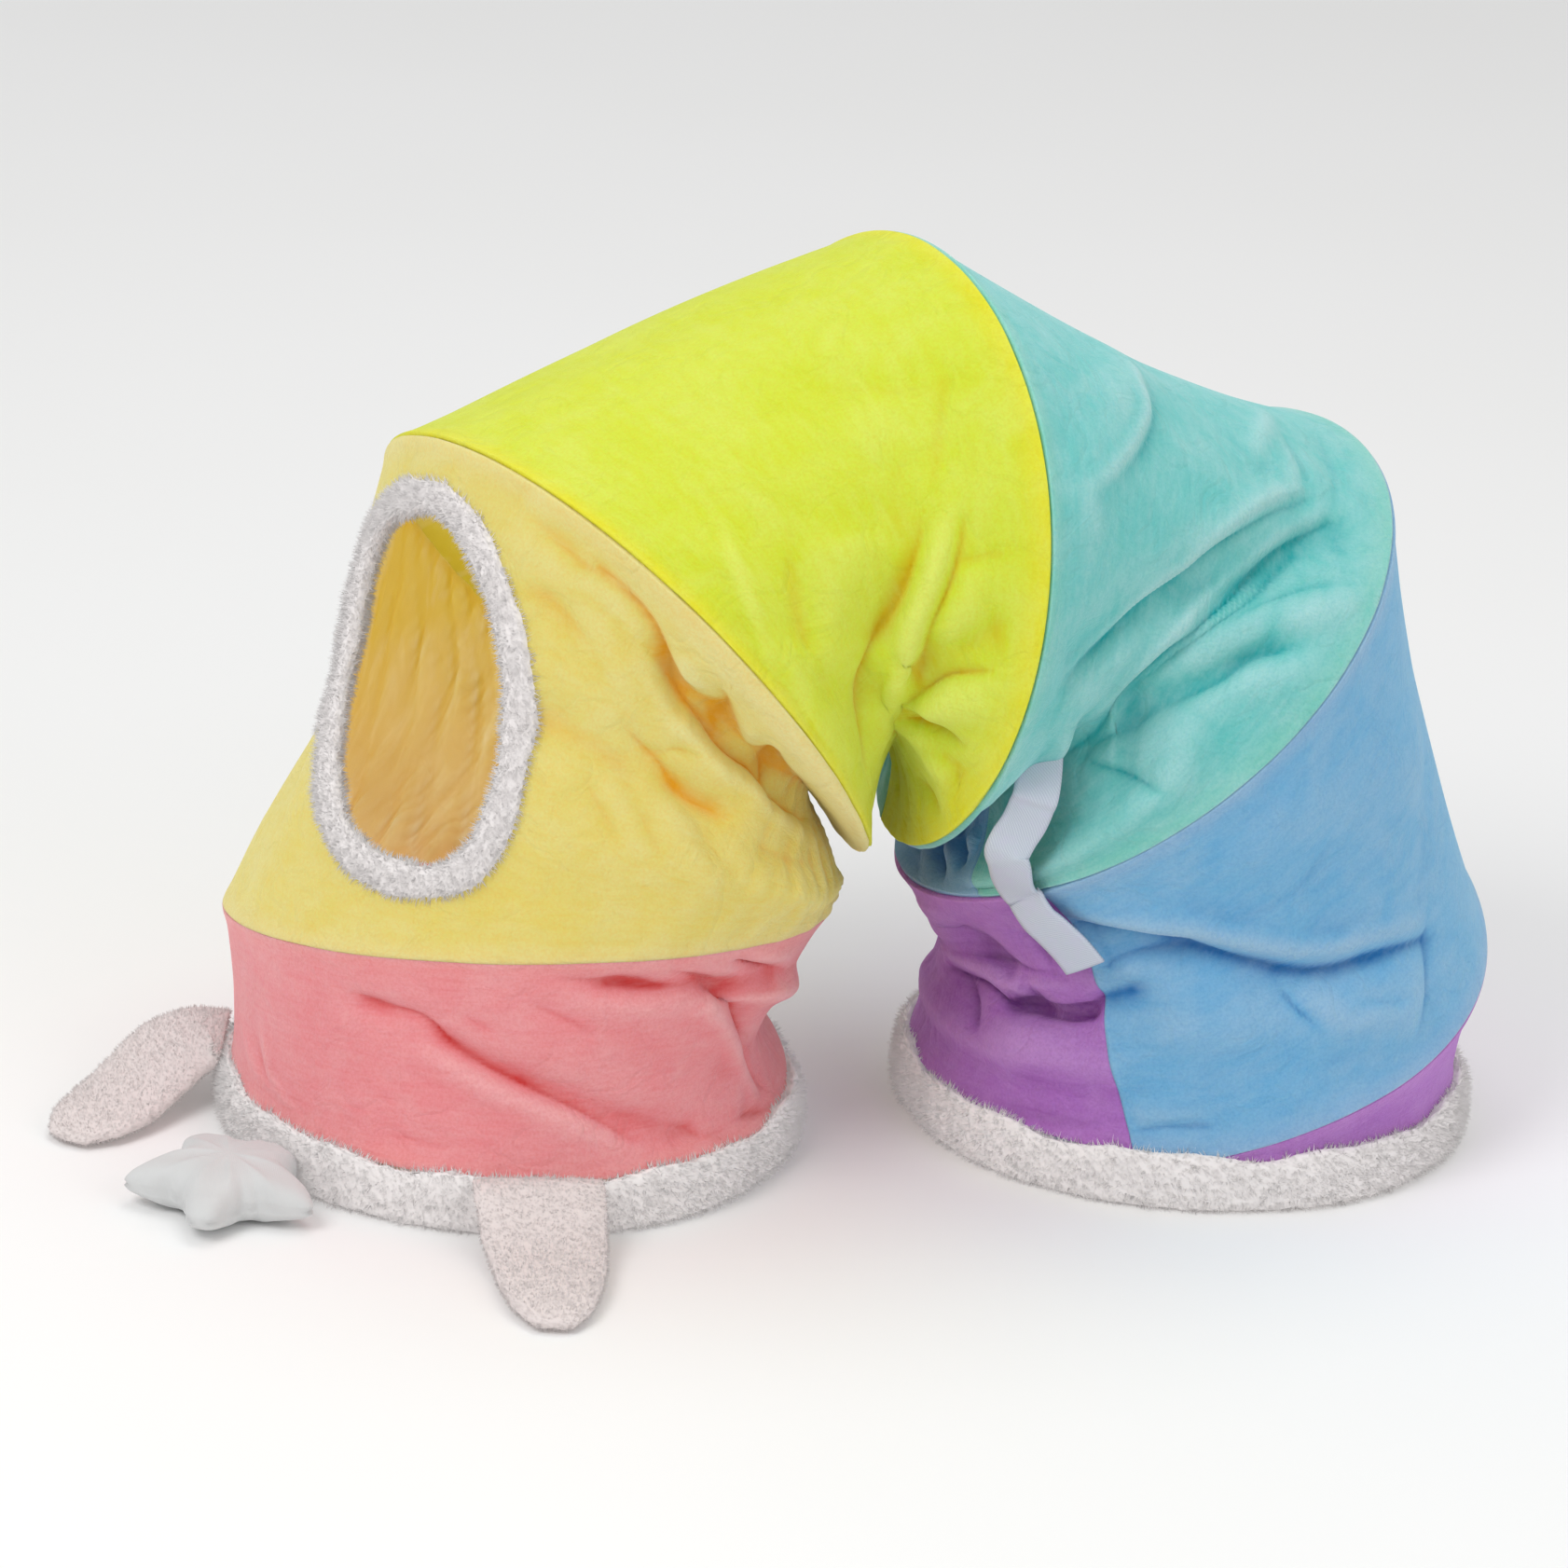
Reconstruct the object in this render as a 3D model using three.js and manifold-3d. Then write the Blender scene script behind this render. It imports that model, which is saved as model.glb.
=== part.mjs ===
// Spiral cat tunnel: a short-pile plush tube held open by a helical wire, bent into an arch that
// stands on both of its ends. Six coloured strips of cloth are sewn edge to edge along the wire.
// Millimetres, +Z up. The object stands on z = 0, and the camera side of the arch is -Y.
//
// A place on the cloth is (turn, at). turn counts the turns of the wire from the pink end: whole
// numbers are on the outside of the bend, .25 at the front, .5 in the crotch and .75 at the back.
// at goes across one strip of cloth, from 0 on the seam at that turn to 1 on the seam one turn on.

import * as THREE from 'three';
import { mergeVertices } from 'three/addons/utils/BufferGeometryUtils.js';
import Module from 'manifold-3d';

// Driving dimensions
const SHEET = 2.4;
const SEAM_GAP = 0.8;
const END_GAP = 1.4;
const PIPING_RISE = 1.3;
const PIPING_SHARE = 0.03;
const FEET_X = 147;
const FEET_Y = 36;
const HEM_RADIUS = 119;
const HEM_HEIGHT = 23;
const HEM_WIDTH = 19;
const HEM_WAVE = 2;
const FIRST_TURN = -0.5;
const LAST_TURN = 4.24;
const STRIP_WIDTH = 235;
const SEAM_SKEW = 0.06;
const MIN_STRIP = 6;
const EDGE_HOLD = 1 / 12;
const PLEAT_DEPTH = 13;
const PLEAT_PITCH = 0.145;
const PLEAT_TURN = 0.68;
const PLEAT_SPAN = 0.15;
const TRIM_WIDTH = 17;
const TRIM_THICK = 9;
const TRIM_CLEARANCE = 0.5;
const HEM_CLEARANCE = 0.5;
const EAR_THICK = 13;
const STAR_REACH = 43;
const STAR_THICK = 25;
const STRAP_WIDTH = 19.5;
const STRAP_THICK = 1.2;

// The wire's rings, one row a turn: the ring's centre, its radius, how far its axis leans from
// upright towards +X, its turn about the vertical, and how far its front edge tips up (degrees).
const RINGS = [
  { turn: FIRST_TURN, x: -FEET_X, y: -FEET_Y, z: HEM_HEIGHT, r: HEM_RADIUS, lean: 0, yaw: 0, tilt: 0 },
  { turn: 0, x: -146, y: -18, z: 80, r: 128, lean: 3, yaw: 5, tilt: -3 },
  { turn: 1, x: -112, y: -26, z: 216, r: 129, lean: 41, yaw: -6, tilt: 21 },
  { turn: 2, x: 4, y: -8, z: 269, r: 129, lean: 93, yaw: 6, tilt: 10 },
  { turn: 3, x: 114, y: 27, z: 212, r: 129, lean: 137, yaw: 6, tilt: 0 },
  { turn: 4, x: 147, y: 32, z: 82, r: 128, lean: 180, yaw: -6, tilt: 4 },
  { turn: LAST_TURN, x: FEET_X, y: FEET_Y, z: HEM_HEIGHT, r: HEM_RADIUS, lean: 180, yaw: 0, tilt: 0 },
];

// The valley that each strip sags into between its two seams: where it runs across the strip, how
// deep it is, and its sides: full is above 0 for a hanging trough, and below 0 where the cloth
// swells out beside a narrow crease. It is shallow outside the bend and deep in the crotch.
const VALLEY = [
  { turn: -1.5, at: 0.5, depth: 0, full: 0 },
  { turn: -1, at: 0.5, depth: 2, full: 0.6 },
  { turn: -0.75, at: 0.4, depth: 4, full: 0.6 },
  { turn: -0.6, at: 0.34, depth: 11, full: 0.2 },
  { turn: -0.5, at: 0.32, depth: 20, full: 0.2 },
  { turn: -0.35, at: 0.45, depth: 30, full: 0.4 },
  { turn: -0.15, at: 0.5, depth: 14, full: 0.7 },
  { turn: 0, at: 0.42, depth: 11, full: -0.5 },
  { turn: 0.05, at: 0.5, depth: 4, full: -0.2 },
  { turn: 0.12, at: 0.75, depth: 2, full: 0 },
  { turn: 0.18, at: 0.88, depth: 9, full: -0.4 },
  { turn: 0.25, at: 0.83, depth: 24, full: -0.6 },
  { turn: 0.32, at: 0.82, depth: 32, full: -0.9 },
  { turn: 0.4, at: 0.84, depth: 38, full: -1 },
  { turn: 0.5, at: 0.82, depth: 42, full: -0.8 },
  { turn: 0.65, at: 0.55, depth: 62, full: 0.4 },
  { turn: 0.8, at: 0.5, depth: 30, full: 0.8 },
  { turn: 0.93, at: 0.5, depth: -9, full: 0.8 },
  { turn: 1.02, at: 0.5, depth: -4, full: 0.8 },
  { turn: 1.1, at: 0.75, depth: 6, full: 0 },
  { turn: 1.18, at: 0.66, depth: 14, full: -0.3 },
  { turn: 1.25, at: 0.55, depth: 26, full: -0.3 },
  { turn: 1.31, at: 0.48, depth: 36, full: -0.3 },
  { turn: 1.4, at: 0.56, depth: 46, full: -0.4 },
  { turn: 1.5, at: 0.56, depth: 50, full: 0 },
  { turn: 1.65, at: 0.5, depth: 68, full: 0.6 },
  { turn: 1.82, at: 0.5, depth: 26, full: 0.8 },
  { turn: 2, at: 0.5, depth: 7, full: 0.6 },
  { turn: 2.08, at: 0.82, depth: 9, full: -0.2 },
  { turn: 2.16, at: 0.61, depth: 18, full: -0.4 },
  { turn: 2.24, at: 0.48, depth: 30, full: -0.4 },
  { turn: 2.3, at: 0.42, depth: 38, full: -0.5 },
  { turn: 2.38, at: 0.42, depth: 45, full: -0.2 },
  { turn: 2.5, at: 0.45, depth: 52, full: 0.3 },
  { turn: 2.65, at: 0.5, depth: 66, full: 0.6 },
  { turn: 2.82, at: 0.5, depth: 26, full: 0.8 },
  { turn: 3, at: 0.4, depth: 4, full: 0.6 },
  { turn: 3.08, at: 0.72, depth: 7, full: 0 },
  { turn: 3.17, at: 0.6, depth: 13, full: -0.2 },
  { turn: 3.25, at: 0.38, depth: 15, full: 0 },
  { turn: 3.35, at: 0.34, depth: 19, full: 0.3 },
  { turn: 3.5, at: 0.38, depth: 21, full: 0.4 },
  { turn: 3.7, at: 0.5, depth: 18, full: 0.7 },
  { turn: 3.9, at: 0.5, depth: 3, full: 0.6 },
  { turn: 4.3, at: 0.5, depth: 0, full: 0 },
];

// Single creases beside the valley: a trough, or a ridge where the depth is negative, from one
// place on the cloth to another, and the half width of its soft sides.
const CREASES = [
  { turn: -0.84, at: 0.73, toTurn: -0.64, toAt: 0.12, depth: 4, half: 14 },
  { turn: -0.7, at: 0.87, toTurn: -0.6, toAt: 0.74, depth: 5, half: 12 },
  { turn: -0.6, at: 0.72, toTurn: -0.54, toAt: 0.62, depth: -7, half: 14 },
  { turn: 0.19, at: 0.6, toTurn: 0.3, toAt: 0.56, depth: 5, half: 15 },
  { turn: 0.22, at: 0.36, toTurn: 0.38, toAt: 0.4, depth: -3, half: 26 },
  { turn: 0.42, at: 0.42, toTurn: 0.55, toAt: 0.4, depth: -9, half: 50 },
  { turn: 0.23, at: 0.97, toTurn: 0.36, toAt: 0.96, depth: -4, half: 10 },
  { turn: 1.2, at: 0.22, toTurn: 1.3, toAt: 0.12, depth: -4, half: 18 },
  { turn: 1.27, at: 0.62, toTurn: 1.24, toAt: 0.88, depth: 7, half: 13 },
  { turn: 1.32, at: 0.58, toTurn: 1.35, toAt: 0.96, depth: 9, half: 14 },
  { turn: 2.02, at: 0.42, toTurn: 2.15, toAt: 0.15, depth: -4, half: 16 },
  { turn: 2.07, at: 0.9, toTurn: 2.24, toAt: 0.18, depth: 7, half: 13 },
  { turn: 2.15, at: 0.82, toTurn: 2.23, toAt: 0.6, depth: 9, half: 14 },
  { turn: 2.22, at: 0.4, toTurn: 2.34, toAt: 0.12, depth: -4, half: 15 },
  { turn: 2.26, at: 0.8, toTurn: 2.38, toAt: 0.82, depth: -7, half: 20 },
  { turn: 3.06, at: 0.45, toTurn: 3.2, toAt: 0.2, depth: -4, half: 20 },
  { turn: 3.1, at: 0.85, toTurn: 3.25, toAt: 0.62, depth: -5, half: 18 },
  { turn: 3.36, at: 0.56, toTurn: 3.29, toAt: 0.52, depth: 8, half: 12 },
  { turn: 3.43, at: 0.22, toTurn: 3.37, toAt: 0.55, depth: 6, half: 13 },
  { turn: 3.55, at: 0.75, toTurn: 3.3, toAt: 0.72, depth: -4, half: 16 },
];

// The strips, sewn end to end: where each colour starts and ends along the wire.
const STRIPS = [
  { name: 'panel_pink', from: FIRST_TURN - 1, to: -0.4, colour: 0xf58f97 },
  { name: 'panel_pale_yellow', from: -0.4, to: 0.58, colour: 0xfbdf7c },
  { name: 'panel_lemon', from: 0.58, to: 1.53, colour: 0xe0ee20 },
  { name: 'panel_aqua', from: 1.53, to: 2.41, colour: 0x7fdcd2 },
  { name: 'panel_blue', from: 2.41, to: 3.31, colour: 0x8cc0f0 },
  { name: 'panel_purple', from: 3.31, to: LAST_TURN, colour: 0xa866cc },
];
const STEP_FRONT = 0.021;
const STEP_BACK = 0.036;
const ROWS = [0, 0.03, 0.09, 0.18, 0.28, 0.38, 0.48, 0.58, 0.68, 0.78, 0.87, 0.945, 0.975, 1];

// The side opening in the pale yellow strip: a leaning oval, in turns and shares of the strip.
const OPENING = { turn: 0.105, at: 0.54, halfTurn: 0.07, halfAt: 0.355, slant: -0.1 };
// Its outline swells towards two corners: the angle round the opening and how far, as a share.
const OPENING_CORNERS = [
  { angle: 2.62, swell: 0.26 },
  { angle: 5.38, swell: 0.14 },
];
const CORNER_TIGHT = 8;
const OPENING_STEPS = 34;
const PLUG_REACH = 26;

// The ears, flat padded flaps sewn into the hem's top seam: the middle line from root to tip, with
// its width and thickness there.
const EARS = [
  {
    name: 'ear_front',
    line: [
      { x: -128, y: -160, z: 29, width: 62, thick: 5 },
      { x: -127, y: -167, z: 27, width: 60, thick: 8 },
      { x: -125, y: -175, z: 19, width: 58, thick: 11 },
      { x: -123, y: -185, z: 11, width: 56, thick: EAR_THICK },
      { x: -120, y: -201, z: 7, width: 52, thick: EAR_THICK },
      { x: -118, y: -222, z: 6.4, width: 46, thick: EAR_THICK },
      { x: -116, y: -240, z: 5.4, width: 36, thick: 11 },
      { x: -115, y: -252, z: 4, width: 20, thick: 7 },
    ],
  },
  {
    name: 'ear_back',
    line: [
      { x: -272, y: -27, z: 29, width: 54, thick: 5 },
      { x: -280, y: -27, z: 28, width: 54, thick: 8 },
      { x: -289, y: -32, z: 23, width: 52, thick: 11 },
      { x: -298, y: -43, z: 17, width: 48, thick: EAR_THICK },
      { x: -307, y: -57, z: 11, width: 46, thick: EAR_THICK },
      { x: -316, y: -73, z: 7, width: 46, thick: EAR_THICK },
      { x: -325, y: -88, z: 6, width: 40, thick: 11 },
      { x: -332, y: -100, z: 4, width: 22, thick: 7 },
    ],
  },
];
const STAR = { x: -259, y: -150, turn: 43 };

// The webbing strap in the crotch: its middle line over the cloth, and how far it stands off the
// straight line between the seams. Past at 1 it has crossed onto the blue strip.
const STRAP = [
  { turn: 2.312, at: 0.37, off: -7.6 },
  { turn: 2.319, at: 0.4, off: -6 },
  { turn: 2.328, at: 0.44, off: -3.5 },
  { turn: 2.338, at: 0.47, off: 0 },
  { turn: 2.344, at: 0.52, off: 3.5 },
  { turn: 2.345, at: 0.62, off: 5 },
  { turn: 2.348, at: 0.8, off: 5.5 },
  { turn: 2.347, at: 0.97, off: 5.2 },
  { turn: 2.34, at: 1.09, off: 3.8 },
  { turn: 2.332, at: 1.17, off: 1.5 },
  { turn: 2.322, at: 1.27, off: -2 },
  { turn: 2.314, at: 1.36, off: -5 },
];

const UP = new THREE.Vector3(0, 0, 1);

const wasm = await Module();
wasm.setup();

// Smooth curve through the rows of a table: the value of one column at a turn.
function smoothColumn(rows, key, turn) {
  const last = rows.length - 1;
  const t = Math.min(Math.max(turn, rows[0].turn), rows[last].turn);
  let i = 0;
  while (i < last - 1 && rows[i + 1].turn <= t) i += 1;
  const slope = (k) => {
    const a = rows[Math.max(k - 1, 0)];
    const b = rows[Math.min(k + 1, last)];
    return (b[key] - a[key]) / (b.turn - a.turn);
  };
  const span = rows[i + 1].turn - rows[i].turn;
  const u = (t - rows[i].turn) / span;
  const keepStart = (1 + 2 * u) * (1 - u) ** 2 * rows[i][key];
  const keepEnd = u * u * (3 - 2 * u) * rows[i + 1][key];
  const bendStart = u * (1 - u) ** 2 * span * slope(i);
  const bendEnd = u * u * (u - 1) * span * slope(i + 1);
  return keepStart + keepEnd + bendStart + bendEnd;
}

// The value of one column at a turn, level at each row.
function easeColumn(rows, key, turn) {
  const last = rows.length - 1;
  const t = Math.min(Math.max(turn, rows[0].turn), rows[last].turn);
  let i = 0;
  while (i < last - 1 && rows[i + 1].turn <= t) i += 1;
  const u = (t - rows[i].turn) / (rows[i + 1].turn - rows[i].turn);
  return rows[i][key] + (rows[i + 1][key] - rows[i][key]) * u * u * (3 - 2 * u);
}

// The point of the seam at a turn, on the wire or, past its ends, on the hem, and the point of
// the tunnel's axis that it goes round.
function seam(turn) {
  const value = (key) => smoothColumn(RINGS, key, turn);
  const lean = THREE.MathUtils.degToRad(value('lean'));
  const yaw = THREE.MathUtils.degToRad(value('yaw'));
  const tilt = THREE.MathUtils.degToRad(value('tilt'));
  const outer = new THREE.Vector3(-Math.cos(lean), 0, Math.sin(lean));
  const axis = new THREE.Vector3(Math.sin(lean), 0, Math.cos(lean));
  const front = new THREE.Vector3(0, -Math.cos(tilt), 0).addScaledVector(axis, Math.sin(tilt));
  outer.applyAxisAngle(UP, yaw);
  front.applyAxisAngle(UP, yaw);
  const centre = new THREE.Vector3(value('x'), value('y'), value('z'));
  const angle = 2 * Math.PI * turn;
  const point = centre.clone();
  point.addScaledVector(outer, value('r') * Math.cos(angle));
  point.addScaledVector(front, value('r') * Math.sin(angle));
  return { point, centre };
}

// How deep the single creases are at one place.
function creaseDepth(turn, at) {
  let depth = 0;
  for (const crease of CREASES) {
    const along = (crease.toTurn - crease.turn) * 2 * Math.PI * HEM_RADIUS;
    const across = (crease.toAt - crease.at) * STRIP_WIDTH;
    const x = (turn - crease.turn) * 2 * Math.PI * HEM_RADIUS;
    const y = (at - crease.at) * STRIP_WIDTH;
    const length = Math.hypot(along, across);
    const u = (x * along + y * across) / length ** 2;
    const side = (x * across - y * along) / length;
    const past = Math.max(-u, u - 1, 0) * length;
    const distance = Math.hypot(side, past) / crease.half;
    if (distance < 3) depth += crease.depth * Math.exp(-distance * distance);
  }
  return depth;
}

// The pleats that gather the cloth at the back of the crotch, where the bend crowds the seams
// together: soft ridges across the strip, uneven in pitch. The pink strip is narrow there and
// gathers less.
function pleatDepth(turn, at) {
  const part = turn - Math.floor(turn);
  const most = turn < 0 ? 0.3 * PLEAT_DEPTH : PLEAT_DEPTH;
  const behind = Math.exp(-(((part - PLEAT_TURN) / PLEAT_SPAN) ** 2));
  const inStrip = Math.sin(Math.PI * at) ** 0.7;
  const even = Math.cos((2 * Math.PI * turn) / PLEAT_PITCH + 1.6 * at);
  const odd = Math.cos((2 * Math.PI * turn) / (PLEAT_PITCH * 1.62) - 2.4 * at);
  return most * behind * inStrip * (0.7 * even + 0.3 * odd);
}

// How far the cloth lies inside the straight line between its two seams.
function sag(turn, at) {
  const valleyAt = easeColumn(VALLEY, 'at', turn);
  const u = at < valleyAt ? at / valleyAt : (1 - at) / (1 - valleyAt);
  const full = easeColumn(VALLEY, 'full', turn);
  const valley = easeColumn(VALLEY, 'depth', turn) * u * (1 + full * (1 - u));
  const free = Math.min(1, at / EDGE_HOLD, (1 - at) / EDGE_HOLD);
  return valley + (creaseDepth(turn, at) + pleatDepth(turn, at)) * free;
}

// The share of the way across a strip that its edge keeps back from the seam at a turn, so that
// it stays half a seam gap clear of the seam's own plane.
function edgeShare(turn, across) {
  const { point, centre } = seam(turn);
  const wireWay = seam(turn + 0.002).point.sub(seam(turn - 0.002).point);
  const square = wireWay.cross(centre.clone().sub(point)).normalize();
  return (SEAM_GAP + SHEET) / 2 / Math.max(Math.abs(across.dot(square)), MIN_STRIP);
}

// A point of the cloth's middle surface.
function cloth(turn, at) {
  const low = seam(turn);
  const high = seam(turn + 1);
  const across = high.point.clone().sub(low.point);
  const start = edgeShare(turn, across);
  const end = edgeShare(turn + 1, across);
  const point = low.point.clone().addScaledVector(across, start + at * (1 - start - end));
  const inward = low.centre.clone().lerp(high.centre, at).sub(point).normalize();
  return point.addScaledVector(inward, sag(turn, at));
}

// The way out of the cloth at one place.
function clothNormal(turn, at) {
  const reach = 0.004;
  const a = Math.max(at - 3 * reach, 0);
  const b = Math.min(at + 3 * reach, 1);
  const alongWire = cloth(turn + reach, at).sub(cloth(turn - reach, at));
  const acrossStrip = cloth(turn, b).sub(cloth(turn, a));
  return alongWire.cross(acrossStrip).normalize();
}

// A closed body from a grid of outer and inner points, joined round its rim.
function sheetGeometry(outer, inner) {
  const rows = outer.length;
  const cols = outer[0].length;
  const points = [...outer.flat(), ...inner.flat()];
  const index = [];
  const top = (i, j) => i * cols + j;
  const under = (i, j) => rows * cols + i * cols + j;
  const quad = (a, b, c, d) => index.push(a, b, c, a, c, d);
  for (let i = 0; i < rows - 1; i += 1) {
    for (let j = 0; j < cols - 1; j += 1) {
      quad(top(i, j), top(i + 1, j), top(i + 1, j + 1), top(i, j + 1));
      quad(under(i, j), under(i, j + 1), under(i + 1, j + 1), under(i + 1, j));
    }
  }
  for (let i = 0; i < rows - 1; i += 1) {
    quad(top(i, 0), under(i, 0), under(i + 1, 0), top(i + 1, 0));
    quad(top(i + 1, cols - 1), under(i + 1, cols - 1), under(i, cols - 1), top(i, cols - 1));
  }
  for (let j = 0; j < cols - 1; j += 1) {
    quad(top(0, j + 1), under(0, j + 1), under(0, j), top(0, j));
    quad(top(rows - 1, j), under(rows - 1, j), under(rows - 1, j + 1), top(rows - 1, j + 1));
  }
  return indexed(points, index);
}

// A closed body from a stack of equal sections, closed at its ends or joined end to start.
function loftGeometry(sections, ring) {
  const count = sections[0].length;
  const points = sections.flat();
  const index = [];
  const spans = ring ? sections.length : sections.length - 1;
  for (let i = 0; i < spans; i += 1) {
    const here = i * count;
    const next = ((i + 1) % sections.length) * count;
    for (let j = 0; j < count; j += 1) {
      const k = (j + 1) % count;
      index.push(here + j, here + k, next + k, here + j, next + k, next + j);
    }
  }
  if (!ring) {
    const end = (sections.length - 1) * count;
    for (let j = 1; j < count - 1; j += 1) {
      index.push(0, j + 1, j);
      index.push(end, end + j, end + j + 1);
    }
  }
  return indexed(points, index);
}

// A geometry from points and the triangles between them.
function indexed(points, index) {
  const numbers = points.flatMap((p) => p.toArray());
  const geometry = new THREE.BufferGeometry();
  geometry.setAttribute('position', new THREE.Float32BufferAttribute(numbers, 3));
  geometry.setIndex(index);
  return geometry;
}

// A geometry as a solid to join or cut, and back.
function toManifold(geometry) {
  const bare = geometry.clone();
  bare.deleteAttribute('normal');
  bare.deleteAttribute('uv');
  const merged = mergeVertices(bare, 1e-4);
  const vertProperties = new Float32Array(merged.attributes.position.array);
  const triVerts = new Uint32Array(merged.index.array);
  return new wasm.Manifold(new wasm.Mesh({ numProp: 3, vertProperties, triVerts }));
}

function fromManifold(solid) {
  const mesh = solid.getMesh();
  const numbers = new Float32Array(mesh.vertProperties);
  const geometry = new THREE.BufferGeometry();
  geometry.setAttribute('position', new THREE.BufferAttribute(numbers, 3));
  geometry.setIndex(new THREE.BufferAttribute(new Uint32Array(mesh.triVerts), 1));
  return geometry;
}

// One strip of cloth with its raised, piped edges. Its two ends are cut square across the strip,
// which in turns makes them lean by SEAM_SKEW.
function stripGeometry(strip) {
  const isFirst = strip.from === FIRST_TURN - 1;
  const isLast = strip.to === LAST_TURN;
  const from = isFirst ? narrowEnd(strip.from, 1) : strip.from;
  const to = isLast ? narrowEnd(strip.to, -1) : strip.to;
  const turns = [from];
  while (turns[turns.length - 1] < to - STEP_FRONT / 2) {
    const turn = turns[turns.length - 1];
    const part = turn - Math.floor(turn);
    turns.push(Math.min(turn + (part < 0.52 ? STEP_FRONT : STEP_BACK), to));
  }
  const outer = [];
  const inner = [];
  for (const turn of turns) {
    const share = (turn - from) / (to - from);
    const outerRow = [];
    const innerRow = [];
    for (const at of ROWS) {
      const lean = SEAM_SKEW * (0.5 - at);
      const startShift = isFirst ? 0 : lean + endGap(from + lean, at);
      const endShift = isLast ? 0 : lean - endGap(to + lean, at);
      const place = turn + startShift * (1 - share) + endShift * share;
      const point = cloth(place, at);
      const normal = clothNormal(place, at);
      const fromEdge = Math.min(at, 1 - at) / PIPING_SHARE;
      const piping = PIPING_RISE * Math.exp(-(fromEdge ** 2));
      outerRow.push(point.clone().addScaledVector(normal, SHEET / 2 + piping));
      innerRow.push(point.clone().addScaledVector(normal, -SHEET / 2));
    }
    outer.push(outerRow);
    inner.push(innerRow);
  }
  return sheetGeometry(outer, inner);
}

// Half of the gap between two strips sewn end to end, in turns.
function endGap(turn, at) {
  const step = 0.001;
  const length = cloth(turn - step, at).distanceTo(cloth(turn + step, at));
  return (END_GAP / 2) * (2 * step / length);
}

// Where a tapering end strip has become wide enough to be cloth.
function narrowEnd(start, step) {
  let turn = start;
  while (seam(turn).point.distanceTo(seam(turn + 1).point) < MIN_STRIP) turn += step * 0.005;
  return turn;
}

// The plush roll round one end: flat where it rests on the floor, and slightly uneven in plan.
function hemGeometry(side, grow = 0) {
  const steps = 46;
  const half = HEM_WIDTH / 2 + grow;
  const high = HEM_HEIGHT - SEAM_GAP / 2 + grow;
  const low = -grow;
  const profile = [
    [-half * 0.62, low], [half * 0.66, low], [half * 0.95, high * 0.2], [half, high * 0.5],
    [half * 0.8, high * 0.8], [half * 0.35, high], [-half * 0.3, high], [-half * 0.8, high * 0.8],
    [-half, high * 0.45], [-half * 0.92, high * 0.15],
  ];
  const sections = [];
  for (let i = 0; i < steps; i += 1) {
    const angle = (2 * Math.PI * i) / steps;
    const wave = HEM_WAVE * (0.6 * Math.cos(3 * angle + side) + 0.4 * Math.sin(5 * angle));
    sections.push(profile.map(([r, z]) => {
      const radius = HEM_RADIUS + r + wave * (r > 0 ? 1 : 0.6);
      const x = side * FEET_X + radius * Math.cos(angle);
      return new THREE.Vector3(x, side * FEET_Y + radius * Math.sin(angle), z);
    }).reverse());
  }
  return loftGeometry(sections, true);
}

// A place on the rim of the side opening.
function openingPlace(k) {
  const angle = (2 * Math.PI * k) / OPENING_STEPS;
  let reach = 1;
  OPENING_CORNERS.forEach((corner) => {
    const near = Math.max(0, Math.cos(angle - corner.angle));
    reach += corner.swell * near ** CORNER_TIGHT;
  });
  const rise = reach * OPENING.halfAt * Math.sin(angle);
  const along = reach * OPENING.halfTurn * Math.cos(angle);
  return { turn: OPENING.turn + along + OPENING.slant * rise, at: OPENING.at + rise };
}

// The band of plush round the side opening, or, with grow, the room it takes out of the cloth.
function trimGeometry(grow = 0) {
  const half = TRIM_WIDTH / 2 + grow;
  const thick = TRIM_THICK / 2 + grow;
  const profile = [
    [half * 0.65, -thick], [half, -thick * 0.45], [half, thick * 0.45], [half * 0.65, thick],
    [-half * 0.65, thick], [-half, thick * 0.45], [-half, -thick * 0.45], [-half * 0.65, -thick],
  ];
  const sections = [];
  for (let k = 0; k < OPENING_STEPS; k += 1) {
    const { turn, at } = openingPlace(k);
    const before = openingPlace(k - 1);
    const after = openingPlace(k + 1);
    const centre = cloth(turn, at);
    const normal = clothNormal(turn, at);
    const tangent = cloth(after.turn, after.at).sub(cloth(before.turn, before.at)).normalize();
    const aside = tangent.clone().cross(normal).normalize();
    sections.push(profile.map(([w, h]) => (
      centre.clone().addScaledVector(aside, -w).addScaledVector(normal, h)
    )));
  }
  return loftGeometry(sections, true);
}

// A plug through the side opening, out to the middle of its band.
function plugGeometry() {
  const outer = [];
  const inner = [];
  for (let k = 0; k < OPENING_STEPS; k += 1) {
    const { turn, at } = openingPlace(k);
    const normal = clothNormal(turn, at);
    outer.push(cloth(turn, at).addScaledVector(normal, PLUG_REACH));
    inner.push(cloth(turn, at).addScaledVector(normal, -PLUG_REACH));
  }
  const middle = (ring) => {
    const sum = new THREE.Vector3();
    ring.forEach((p) => sum.add(p));
    return sum.divideScalar(ring.length);
  };
  const points = [...outer, ...inner, middle(outer), middle(inner)];
  const index = [];
  for (let k = 0; k < OPENING_STEPS; k += 1) {
    const next = (k + 1) % OPENING_STEPS;
    const below = OPENING_STEPS + k;
    const belowNext = OPENING_STEPS + next;
    index.push(2 * OPENING_STEPS, k, next);
    index.push(2 * OPENING_STEPS + 1, belowNext, below);
    index.push(k, below, belowNext, k, belowNext, next);
  }
  return indexed(points, index);
}

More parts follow.
